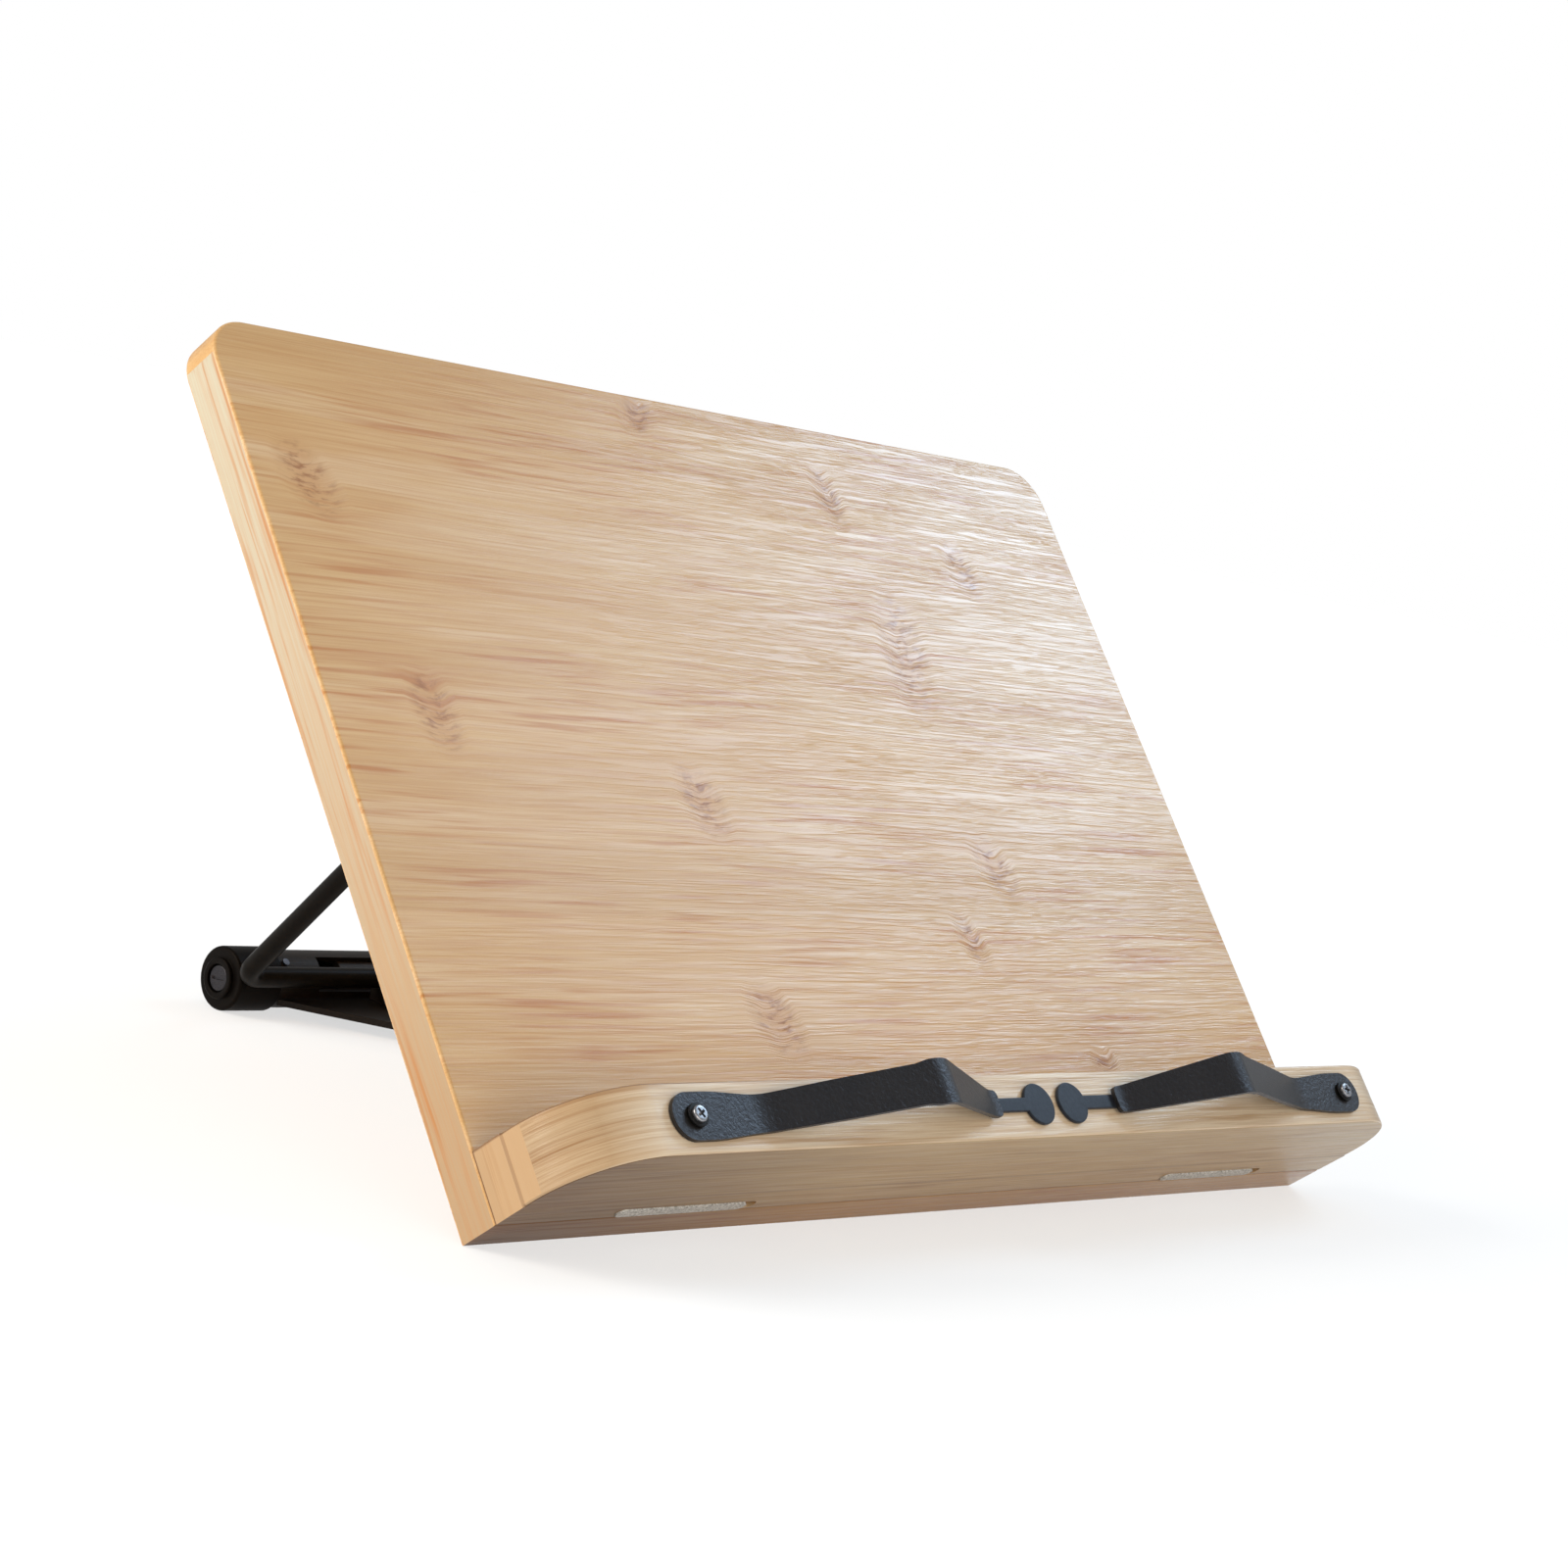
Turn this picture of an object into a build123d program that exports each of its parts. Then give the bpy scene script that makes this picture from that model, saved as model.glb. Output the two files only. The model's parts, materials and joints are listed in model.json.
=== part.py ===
from build123d import *
from math import atan, atan2, cos, degrees, hypot, radians, sin, sqrt
import os

os.makedirs("parts", exist_ok=True)

# Book stand: a tilted bamboo board with a ledge, two page clips and a folding rear leg.
# Lengths are millimetres. X runs along the board, Y to the rear, Z up from the table.

# Board
board_width = 340.0
board_height = 246.0
board_thickness = 12.5
board_tilt = 49.3
top_corner_radius = 13.0
board_edge_radius = 0.9

# Ledge in front of the board: a glued strip and a nose with rounded corners
ledge_height = 18.0
ledge_strip_depth = 10.0
nose_depth = 26.0
nose_corner_radius = 24.0
nose_edge_radius = 0.7

# Dowels that tie the ledge to the board
dowel_radius = 3.0
dowel_in_board = 7.0
dowel_in_nose = 12.0
dowel_from_end = 35.0
dowel_count = 4

# Grip strips in grooves in the underside of the ledge
groove_length = 48.0
groove_width = 4.0
groove_depth = 2.0
groove_from_end = 36.5
groove_from_board = 2.4
grip_side_gap = 0.25
grip_end_gap = 3.5
grip_stand_out = 0.4

# Page clips, measured from the clip screw towards the middle of the board
clip_screw_from_end = 34.0
clip_height = 8.8
clip_thickness = 1.2
clip_gap = 0.3
clip_end_width = 12.0
clip_end_reach = 7.4
clip_waist_at = 23.0
clip_waist_width = 9.6
clip_swell_at = 50.0
clip_swell_width = 10.7
clip_crest_at = 73.0
clip_crest_width = 11.8
clip_crest_rise = 18.0
clip_tip_at = 111.0
clip_tip_width = 7.0
clip_foot_length = 3.0
clip_tip_corner = 1.6
clip_bend_radius = 16.0
clip_crest_radius = 6.0
clip_foot_radius = 6.0
tongue_width = 3.8
tongue_thickness = 1.0
tongue_under_strap = 5.0
disc_radius = 5.7
disc_from_middle = 7.1

# Clip screws and their shouldered bushes
bush_radius = 3.0
bush_neck_radius = 2.2
bush_height = 2.1
clip_screw_radius = 1.5
clip_screw_depth = 12.0
clip_head_radius = 2.1
clip_head_height = 0.9
cross_length = 2.6
cross_width = 0.7
cross_depth = 0.5

# Rear leg: a plate just above the table, hinged behind the board
leg_length = 195.0
plate_thickness = 2.0
plate_width = 66.0
plate_spread_inset = 0.4
plate_spread_run = 39.0

# Tube across the rear end of the leg, with a window in its front
tube_radius = 8.4
tube_wall = 1.6
window_width = 99.0
window_top_angle = 63.0
window_bottom_angle = -12.0
core_width = 79.8
core_wall = 2.0
core_gap = 0.2

# Foot caps on the ends of the tube
foot_span = 160.0
cap_radius = 9.3
cap_length = 15.6
cap_edge_radius = 0.8
cap_plug_length = 9.0
cap_plug_gap = 0.1
rim_radius = 6.0
rim_bore_radius = 4.1
rim_height = 1.3
foot_head_radius = 3.8
foot_head_height = 0.8
foot_screw_radius = 2.0
foot_screw_length = 14.0
slot_width = 0.9
slot_depth = 0.5

# Rivets through the wall of the tube
rivet_from_middle = 62.0
rivet_angle = 47.0
rivet_head_radius = 1.1
rivet_head_height = 0.7
rivet_radius = 0.8

# Racks along the leg plate
rack_spacing = 58.0
rack_thickness = 2.0
rack_front_run = 14.0
notch_count = 5
notch_pitch = 20.0
tooth_height = 3.0
notch_side_gap = 0.4

# Hinge between the board and the leg
hinge_up = 10.5
hinge_behind = 5.2
knuckle_radius = 3.6
hinge_width = 66.0
leg_knuckle_width = 40.0
knuckle_gap = 0.3
hinge_pin_radius = 1.5
pin_head_radius = 2.4
pin_head_length = 1.2
leaf_bottom = 4.0
leaf_top = 39.0
leaf_thickness = 1.2
leaf_screw_low = 26.0
leaf_screw_high = 34.5
leaf_screw_from_middle = 22.0

# Strut: a bent rod hinged behind the board, whose cross bar stands in the racks
rod_radius = 3.0
strut_up = 153.0
strut_behind = 5.5
strut_span = 164.0
strut_bend_radius = 5.5
strut_end_length = 24.0
bar_height = 12.8
bar_gap = 0.3

# Saddle brackets that carry the strut
bracket_from_arm = 10.0
bracket_width = 12.0
bracket_reach = 13.5
bracket_flange = 1.5
bracket_wall = 1.5
bracket_screw_reach = 9.2

# Wood screws of the hinge and the brackets
wood_screw_radius = 1.6
wood_screw_depth = 9.0
wood_head_radius = 2.9
wood_head_height = 1.2

# Clearances between round pieces
running_gap = 0.08
fixed_gap = 0.05

# Tilt of the board, and how far its rounded bottom edge drops it
tilt = radians(board_tilt)
edge_drop = board_edge_radius * (sin(tilt) + cos(tilt) - 1)


def behind_board(up, behind):
    """Distance to the rear and height of a point behind the board's rear face."""
    to_rear = up * cos(tilt) + behind * sin(tilt)
    height = up * sin(tilt) - behind * cos(tilt) - edge_drop
    return to_rear, height


# Places along the board, and the width of the tube between the foot caps
clip_screw_from_middle = board_width / 2 - clip_screw_from_end
groove_from_middle = (board_width - groove_length) / 2 - groove_from_end
dowel_pitch = (board_width - 2 * dowel_from_end) / (dowel_count - 1)
tube_span = foot_span - 2 * cap_length

# Hinge, tube, cross bar and strut, measured from the board's bottom rear edge
hinge_y, hinge_z = behind_board(hinge_up, hinge_behind)
strut_y, strut_z = behind_board(strut_up, strut_behind)
tube_y = hinge_y + leg_length
tube_z = cap_radius
bar_to_tube = cap_radius + rod_radius + bar_gap
bar_y = tube_y - sqrt(bar_to_tube**2 - (bar_height - tube_z) ** 2)
strut_length = hypot(bar_y - strut_y, bar_height - strut_z)
strut_slope = atan2(bar_height - strut_z, bar_y - strut_y)

# Start of the clip's foot, and the corner of its two ramps, which the rounded crest stays below
clip_foot_at = clip_tip_at - clip_foot_length
ramp_in = atan(clip_crest_rise / (clip_crest_at - clip_waist_at))
ramp_out = atan(clip_crest_rise / (clip_foot_at - clip_crest_at))
crest_rounding = clip_crest_radius * (cos((ramp_in - ramp_out) / 2) / cos((ramp_in + ramp_out) / 2) - 1)
crest_corner = clip_crest_rise - clip_thickness / 2 + crest_rounding

# The origin is under the middle of the whole stand
ledge_front = board_thickness + ledge_strip_depth + nose_depth
clip_front_y = (clip_height - clip_crest_width / 2) * cos(tilt) - (ledge_front + clip_crest_rise) * sin(tilt)
middle_y = (clip_front_y + tube_y + cap_radius) / 2

across = Vector(1, 0, 0)
up_board = Vector(0, cos(tilt), sin(tilt))
out_of_board = Vector(0, -sin(tilt), cos(tilt))
board_plane = Plane(origin=(0, -middle_y, -edge_drop), x_dir=across, z_dir=out_of_board)
sides = {"left": -1, "right": 1}


def board_point(x, up, out):
    """Point given along the board, up it, and out from its rear face."""
    return board_plane.from_local_coords(Vector(x, up, out))


def board_section(x):
    """Plane square to the board's width: its X runs up the board, its Y out of the front."""
    return Plane(origin=board_point(x, 0, 0), x_dir=up_board, z_dir=across)


def ledge_plane(out):
    """Plane along the underside of the ledge: its Y runs towards the board."""
    return Plane(origin=board_point(0, 0, out), x_dir=across, z_dir=up_board)


def upright_section(x):
    """Upright plane square to X: its X runs to the rear from the board's bottom edge."""
    return Plane(origin=(x, -middle_y, 0), x_dir=(0, 1, 0), z_dir=across)


def save(name, piece):
    piece.part.label = name
    export_step(piece.part, f"parts/{name}.step")


dowel_places = [dowel_pitch * (i - (dowel_count - 1) / 2) for i in range(dowel_count)]
bracket_middle = strut_span / 2 - bracket_from_arm - bracket_width / 2
bracket_screw_places = [
    (side * bracket_middle, strut_up + step * bracket_screw_reach)
    for side in (-1, 1)
    for step in (-1, 1)
]
leaf_screw_places = [
    (side * leaf_screw_from_middle, up)
    for side in (-1, 1)
    for up in (leaf_screw_low, leaf_screw_high)
]

# Back board, with blind holes for the dowels and for the wood screws
with BuildPart() as back_board:
    with BuildSketch(board_plane) as board_outline:
        with Locations((0, board_height / 2)):
            Rectangle(board_width, board_height)
        fillet(board_outline.vertices().group_by(Axis.Y)[-1], top_corner_radius)
    extrude(amount=board_thickness)
    board_faces = back_board.faces().sort_by(Axis(board_plane.origin, out_of_board))
    fillet(board_faces[0].edges() + board_faces[-1].edges(), board_edge_radius)
    with BuildSketch(board_plane.offset(board_thickness)):
        with Locations(*[(x, ledge_height / 2) for x in dowel_places]):
            Circle(dowel_radius + fixed_gap)
    extrude(amount=-(dowel_in_board + fixed_gap), mode=Mode.SUBTRACT)
    with BuildSketch(board_plane):
        with Locations(*(bracket_screw_places + leaf_screw_places)):
            Circle(wood_screw_radius + fixed_gap)
    extrude(amount=wood_screw_depth + fixed_gap, mode=Mode.SUBTRACT)
save("back_board", back_board)

# Ledge strip, glued to the foot of the board, with the grip grooves in its underside
with BuildPart() as ledge_strip:
    with BuildSketch(board_plane.offset(board_thickness)):
        with Locations((0, ledge_height / 2)):
            Rectangle(board_width, ledge_height)
            with Locations(*[(x, 0) for x in dowel_places]):
                Circle(dowel_radius + fixed_gap, mode=Mode.SUBTRACT)
    extrude(amount=ledge_strip_depth)
    with BuildSketch(ledge_plane(board_thickness + groove_from_board)):
        with Locations((-groove_from_middle, 0), (groove_from_middle, 0)):
            SlotOverall(groove_length, groove_width)
    extrude(amount=groove_depth, mode=Mode.SUBTRACT)
save("ledge_strip", ledge_strip)

# Ledge nose with its two large round corners
nose_start = board_thickness + ledge_strip_depth
with BuildPart() as ledge_nose:
    with BuildSketch(ledge_plane(nose_start)) as nose_outline:
        with Locations((0, -nose_depth / 2)):
            Rectangle(board_width, nose_depth)
        fillet(nose_outline.vertices().group_by(Axis.Y)[0], nose_corner_radius)
    extrude(amount=ledge_height)
    nose_ends = ledge_nose.faces().sort_by(Axis(board_plane.origin, up_board))
    nose_rim = (nose_ends[0].edges() + nose_ends[-1].edges()).filter_by(
        lambda edge: board_plane.to_local_coords(edge.center()).Z > nose_start + fixed_gap
    )
    fillet(nose_rim, nose_edge_radius)
    with BuildSketch(board_plane.offset(nose_start)):
        with Locations(*[(x, ledge_height / 2) for x in dowel_places]):
            Circle(dowel_radius + fixed_gap)
    extrude(amount=dowel_in_nose + fixed_gap, mode=Mode.SUBTRACT)
    with BuildSketch(board_plane.offset(ledge_front)):
        with Locations(*[(side * clip_screw_from_middle, clip_height) for side in (-1, 1)]):
            Circle(clip_screw_radius + fixed_gap)
    extrude(amount=-(clip_screw_depth + fixed_gap), mode=Mode.SUBTRACT)
save("ledge_nose", ledge_nose)

# Dowels through the strip into the board and the nose
with BuildPart() as ledge_dowels:
    with BuildSketch(board_plane.offset(board_thickness - dowel_in_board)):
        with Locations(*[(x, ledge_height / 2) for x in dowel_places]):
            Circle(dowel_radius)
    extrude(amount=dowel_in_board + ledge_strip_depth + dowel_in_nose)
save("ledge_dowels", ledge_dowels)

# Grip strips in the grooves, each a little short at its right end
grip_length = groove_length - grip_end_gap - 2 * grip_side_gap
grip_width = groove_width - 2 * grip_side_gap
for side_name, side in sides.items():
    with BuildPart() as grip_strip:
        with BuildSketch(ledge_plane(board_thickness + groove_from_board)):
            with Locations((side * groove_from_middle - grip_end_gap / 2, 0)):
                SlotOverall(grip_length, grip_width)
        extrude(amount=groove_depth)
        extrude(grip_strip.faces().sort_by(Axis(board_plane.origin, up_board))[0], amount=grip_stand_out)
    save(f"grip_strip_{side_name}", grip_strip)

# Page clips: a bent strap over a flat tongue that ends in a disc
strap_low = clip_gap + clip_thickness / 2
strap_foot = clip_gap + tongue_thickness + clip_thickness / 2
bush_shoulder = 2 * clip_gap + clip_thickness
disc_at = clip_screw_from_middle - disc_from_middle
for side_name, side in sides.items():
    clip_origin = board_point(side * clip_screw_from_middle, clip_height, ledge_front)
    clip_section = Plane(origin=clip_origin, x_dir=across * -side, z_dir=up_board * side)
    clip_face = Plane(origin=clip_origin, x_dir=across * -side, z_dir=out_of_board)

    with BuildPart() as clip_strap:
        with BuildSketch(clip_section):
            with BuildLine() as strap_line:
                FilletPolyline(
                    (-clip_end_reach - clip_thickness, strap_low),
                    (clip_waist_at, strap_low),
                    (clip_crest_at, crest_corner),
                    (clip_foot_at, strap_foot),
                    (clip_tip_at, strap_foot),
                    radius=[clip_bend_radius, clip_crest_radius, clip_foot_radius],
                )
                offset(amount=clip_thickness / 2, side=Side.BOTH)
            make_face()
        extrude(amount=clip_end_width, both=True)
        with BuildSketch(clip_face):
            with BuildLine():
                round_end = clip_end_width / 2
                end_top = (round_end - clip_end_reach, round_end)
                Spline(
                    end_top,
                    (clip_waist_at, clip_waist_width / 2),
                    (clip_swell_at, clip_swell_width / 2),
                    (clip_crest_at, clip_crest_width / 2),
                    tangents=((1, 0), (1, 0)),
                )
                FilletPolyline(
                    (clip_crest_at, clip_crest_width / 2),
                    (clip_tip_at, clip_tip_width / 2),
                    (clip_tip_at, 0),
                    radius=clip_tip_corner,
                )
                mirror(about=Plane.XZ)
                ThreePointArc(end_top, (-clip_end_reach, 0), (end_top[0], -end_top[1]))
            make_face()
        extrude(amount=clip_crest_rise + clip_thickness, mode=Mode.INTERSECT)
        with BuildSketch(clip_face):
            Circle(bush_neck_radius + running_gap)
        extrude(amount=clip_crest_rise, mode=Mode.SUBTRACT)
    save(f"clip_strap_{side_name}", clip_strap)

    with BuildPart() as clip_tongue:
        with BuildSketch(clip_face.offset(clip_gap)):
            tongue_start = clip_tip_at - tongue_under_strap
            with Locations(((tongue_start + disc_at) / 2, 0)):
                Rectangle(disc_at - tongue_start, tongue_width)
            with Locations((disc_at, 0)):
                Circle(disc_radius)
        extrude(amount=tongue_thickness)
    save(f"clip_tongue_{side_name}", clip_tongue)

    with BuildPart() as clip_bush:
        with BuildSketch(clip_face):
            Circle(bush_neck_radius)
        extrude(amount=bush_height)
        with BuildSketch(clip_face.offset(bush_shoulder)):
            Circle(bush_radius)
        extrude(amount=clip_gap + bush_height - bush_shoulder)
        with BuildSketch(clip_face):
            Circle(clip_screw_radius + fixed_gap)
        extrude(amount=clip_gap + bush_height, mode=Mode.SUBTRACT)
    save(f"clip_bush_{side_name}", clip_bush)

    with BuildPart() as clip_screw:
        with BuildSketch(clip_face.offset(-clip_screw_depth)):
            Circle(clip_screw_radius)
        extrude(amount=clip_screw_depth + clip_gap + bush_height)
        with BuildSketch(clip_face.offset(clip_gap + bush_height)):
            Circle(clip_head_radius)
        extrude(amount=clip_head_height)
        head_rim = clip_screw.edges().sort_by(Axis(clip_origin, out_of_board))[-1]
        fillet(head_rim, clip_head_height / 2)
        with BuildSketch(clip_face.offset(clip_gap + bush_height + clip_head_height)):
            Rectangle(cross_length, cross_width)
            Rectangle(cross_width, cross_length)
        extrude(amount=-cross_depth, mode=Mode.SUBTRACT)
    save(f"clip_screw_{side_name}", clip_screw)

# Fixed leaf of the leg hinge, screwed behind the foot of the board
hinge_half = hinge_width / 2
knuckle_half = leg_knuckle_width / 2
with BuildPart() as hinge_leaf:
    with BuildSketch(board_plane):
        with Locations((0, (leaf_bottom + leaf_top) / 2)):
            Rectangle(hinge_width, leaf_top - leaf_bottom)
        with Locations(*leaf_screw_places):
            Circle(wood_screw_radius + fixed_gap, mode=Mode.SUBTRACT)
    extrude(amount=-leaf_thickness)
    for side_x in (-hinge_half, knuckle_half + knuckle_gap):
        with BuildSketch(board_section(side_x)):
            with Locations((hinge_up, -hinge_behind)):
                Circle(knuckle_radius)
            with Locations((hinge_up, -hinge_behind / 2)):
                Rectangle(2 * knuckle_radius, hinge_behind)
            with Locations((hinge_up, -hinge_behind)):
                Circle(hinge_pin_radius + fixed_gap, mode=Mode.SUBTRACT)
        extrude(amount=hinge_half - knuckle_half - knuckle_gap)
save("hinge_leaf", hinge_leaf)

# Hinge pin with a head at each end
with BuildPart() as hinge_pin:
    with BuildSketch(board_section(0)):
        with Locations((hinge_up, -hinge_behind)):
            Circle(hinge_pin_radius)
    extrude(amount=hinge_half + pin_head_length, both=True)
    for head_x in (-hinge_half - pin_head_length, hinge_half):
        with BuildSketch(board_section(head_x)):
            with Locations((hinge_up, -hinge_behind)):
                Circle(pin_head_radius)
        extrude(amount=pin_head_length)
save("hinge_pin", hinge_pin)

# Wood screws of the hinge leaf
with BuildPart() as hinge_screws:
    with BuildSketch(board_plane.offset(-leaf_thickness)):
        with Locations(*leaf_screw_places):
            Circle(wood_screw_radius)
    extrude(amount=leaf_thickness + wood_screw_depth)
    with BuildSketch(board_plane.offset(-leaf_thickness)):
        with Locations(*leaf_screw_places):
            Circle(wood_head_radius)
    extrude(amount=-wood_head_height)
save("hinge_screws", hinge_screws)

# Saddle brackets behind the board, each with a bore for one end of the strut
for side_name, side in sides.items():
    with BuildPart() as strut_bracket:
        with BuildSketch(board_section(side * bracket_middle - bracket_width / 2)):
            with Locations((strut_up, -bracket_flange / 2)):
                Rectangle(2 * bracket_reach, bracket_flange)
            bore_radius = rod_radius + running_gap
            with Locations((strut_up, -strut_behind / 2)):
                Rectangle(2 * (bore_radius + bracket_wall), strut_behind)
            with Locations((strut_up, -strut_behind)):
                Circle(bore_radius + bracket_wall)
                Circle(bore_radius, mode=Mode.SUBTRACT)
        extrude(amount=bracket_width)
        with BuildSketch(board_plane):
            with Locations(*[place for place in bracket_screw_places if place[0] * side > 0]):
                Circle(wood_screw_radius + fixed_gap)
        extrude(amount=-bracket_flange, mode=Mode.SUBTRACT)
    save(f"strut_bracket_{side_name}", strut_bracket)

# Wood screws of the saddle brackets
with BuildPart() as bracket_screws:
    with BuildSketch(board_plane.offset(-bracket_flange)):
        with Locations(*bracket_screw_places):
            Circle(wood_screw_radius)
    extrude(amount=bracket_flange + wood_screw_depth)
    with BuildSketch(board_plane.offset(-bracket_flange)):
        with Locations(*bracket_screw_places):
            Circle(wood_head_radius)
    extrude(amount=-wood_head_height)
save("bracket_screws", bracket_screws)

# Strut: one rod bent into a U, its ends turned in to the brackets
strut_plane = Plane(
    origin=(0, strut_y - middle_y, strut_z),
    x_dir=across,
    z_dir=(0, -sin(strut_slope), cos(strut_slope)),
)
half_span = strut_span / 2
with BuildPart() as strut_rod:
    with BuildLine(strut_plane):
        rod_line = FilletPolyline(
            (strut_end_length - half_span, 0),
            (-half_span, 0),
            (-half_span, strut_length),
            (half_span, strut_length),
            (half_span, 0),
            (half_span - strut_end_length, 0),
            radius=strut_bend_radius,
        )
    with BuildSketch(Plane(origin=rod_line @ 0, z_dir=rod_line % 0)):
        Circle(rod_radius)
    sweep()
save("strut_rod", strut_rod)

# Leg plate, narrow at the hinge and spread out to the tube
plate_top = hinge_z + plate_thickness / 2
plate_end = tube_y - sqrt(tube_radius**2 - (tube_z - plate_top) ** 2) - fixed_gap
plate_step = hinge_y + knuckle_radius + 2 * knuckle_gap
plate_plane = Plane(origin=(0, -middle_y, hinge_z - plate_thickness / 2), x_dir=across, z_dir=(0, 0, 1))
with BuildPart() as leg_plate:
    with BuildSketch(plate_plane):
        with BuildLine():
            Polyline(
                (0, hinge_y),
                (knuckle_half, hinge_y),
                (knuckle_half, plate_step),
                (plate_width / 2, plate_step),
                (plate_width / 2, plate_end - plate_spread_run),
                (tube_span / 2 - plate_spread_inset, plate_end),
                (0, plate_end),
            )
            mirror(about=Plane.YZ)
        make_face()
    extrude(amount=plate_thickness)
    with BuildSketch(upright_section(-knuckle_half)):
        with Locations((hinge_y, hinge_z)):
            Circle(knuckle_radius)
    extrude(amount=leg_knuckle_width)
    with BuildSketch(upright_section(-knuckle_half)):
        with Locations((hinge_y, hinge_z)):
            Circle(hinge_pin_radius + running_gap)
    extrude(amount=leg_knuckle_width, mode=Mode.SUBTRACT)
save("leg_plate", leg_plate)

# Toothed racks: each notch has a steep rear wall and a gentle ramp in front
seat_height = bar_height - rod_radius - bar_gap
seat_half = rod_radius + notch_side_gap
rack_end = tube_y - tube_radius - core_gap
rack_start = bar_y - (notch_count - 1) * notch_pitch - rack_front_run
rack_points = [(rack_end, plate_top), (rack_end, seat_height)]
for i in range(notch_count):
    seat_y = bar_y - i * notch_pitch
    rack_points.append((seat_y - seat_half, seat_height))
    if i < notch_count - 1:
        rack_points.append((seat_y - notch_pitch + seat_half, seat_height + tooth_height))
        rack_points.append((seat_y - notch_pitch + seat_half, seat_height))
rack_points.append((rack_start, plate_top))
for side_name, side in sides.items():
    with BuildPart() as rack:
        with BuildSketch(upright_section(side * rack_spacing / 2 - rack_thickness / 2)):
            with BuildLine():
                Polyline(*rack_points, close=True)
            make_face()
        extrude(amount=rack_thickness)
    save(f"rack_{side_name}", rack)

# Tube across the rear of the leg, with the window that faces the board
window_reach = 2 * tube_radius
window_middle_angle = (window_bottom_angle + window_top_angle) / 2
window_rays = [
    (tube_y - window_reach * cos(radians(angle)), tube_z + window_reach * sin(radians(angle)))
    for angle in (window_bottom_angle, window_middle_angle, window_top_angle)
]
with BuildPart() as rear_tube:
    with BuildSketch(upright_section(0)):
        with Locations((tube_y, tube_z)):
            Circle(tube_radius)
            Circle(tube_radius - tube_wall, mode=Mode.SUBTRACT)
    extrude(amount=tube_span / 2, both=True)
    with BuildSketch(upright_section(0)):
        with BuildLine():
            Polyline((tube_y, tube_z), *window_rays, close=True)
        make_face()
    extrude(amount=window_width / 2, both=True, mode=Mode.SUBTRACT)
    rivet_toward = Vector(0, -cos(radians(rivet_angle)), sin(radians(rivet_angle)))
    for side in (-1, 1):
        rivet_foot = Vector(side * rivet_from_middle, tube_y - middle_y, tube_z)
        with BuildSketch(Plane(origin=rivet_foot, x_dir=across, z_dir=rivet_toward)):
            Circle(rivet_radius + fixed_gap)
        extrude(amount=2 * tube_radius, mode=Mode.SUBTRACT)
save("rear_tube", rear_tube)

# Core sleeve inside the tube, seen through the window
core_radius = tube_radius - tube_wall - core_gap
with BuildPart() as tube_core:
    with BuildSketch(upright_section(0)):
        with Locations((tube_y, tube_z)):
            Circle(core_radius)
            Circle(core_radius - core_wall, mode=Mode.SUBTRACT)
    extrude(amount=core_width / 2, both=True)
save("tube_core", tube_core)

# Rivets that show on the front of the tube
with BuildPart() as tube_rivets:
    for side in (-1, 1):
        rivet_foot = Vector(side * rivet_from_middle, tube_y - middle_y, tube_z)
        rivet_plane = Plane(origin=rivet_foot, x_dir=across, z_dir=rivet_toward)
        with BuildSketch(rivet_plane.offset(tube_radius - tube_wall)):
            Circle(rivet_radius)
        extrude(amount=tube_wall + rivet_head_height / 2)
        with BuildSketch(rivet_plane.offset(tube_radius)):
            Circle(rivet_head_radius)
        extrude(amount=rivet_head_height)
save("tube_rivets", tube_rivets)

# Foot caps with a plug in the tube and a moulded rim round the screw
for side_name, side in sides.items():
    cap_outer = side * foot_span / 2
    cap_inner = cap_outer - side * cap_length
    with BuildPart() as foot_cap:
        with BuildSketch(upright_section(cap_inner)):
            with Locations((tube_y, tube_z)):
                Circle(cap_radius)
        extrude(amount=side * cap_length)
        fillet(foot_cap.edges().sort_by(Axis.X)[-1 if side > 0 else 0], cap_edge_radius)
        with BuildSketch(upright_section(cap_inner)):
            with Locations((tube_y, tube_z)):
                Circle(tube_radius - tube_wall - cap_plug_gap)
        extrude(amount=-side * cap_plug_length)
        with BuildSketch(upright_section(cap_outer)):
            with Locations((tube_y, tube_z)):
                Circle(rim_radius)
                Circle(rim_bore_radius, mode=Mode.SUBTRACT)
        extrude(amount=side * rim_height)
        with BuildSketch(upright_section(cap_outer)):
            with Locations((tube_y, tube_z)):
                Circle(foot_screw_radius + fixed_gap)
        extrude(amount=-side * (foot_screw_length + fixed_gap), mode=Mode.SUBTRACT)
    save(f"foot_cap_{side_name}", foot_cap)

    with BuildPart() as foot_screw:
        with BuildSketch(upright_section(cap_outer)):
            with Locations((tube_y, tube_z)):
                Circle(foot_head_radius)
        extrude(amount=side * foot_head_height)
        with BuildSketch(upright_section(cap_outer)):
            with Locations((tube_y, tube_z)):
                Circle(foot_screw_radius)
        extrude(amount=-side * foot_screw_length)
        with BuildSketch(upright_section(cap_outer + side * foot_head_height)):
            with Locations((tube_y, tube_z)):
                Rectangle(2 * foot_head_radius, slot_width)
        extrude(amount=-side * slot_depth, mode=Mode.SUBTRACT)
    save(f"foot_screw_{side_name}", foot_screw)

fold_angle = 180 - board_tilt + degrees(strut_slope)
print("hinge", hinge_y - middle_y, hinge_z)
print("strut", strut_y - middle_y, strut_z, "length", strut_length, "to flat", fold_angle)
print("tube", tube_y - middle_y, tube_z, "bar", bar_y - middle_y, "board edge", -middle_y)
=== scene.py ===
import json
from math import pi, radians, sqrt

import bmesh
import bpy
from mathutils import Matrix, Vector

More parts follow.
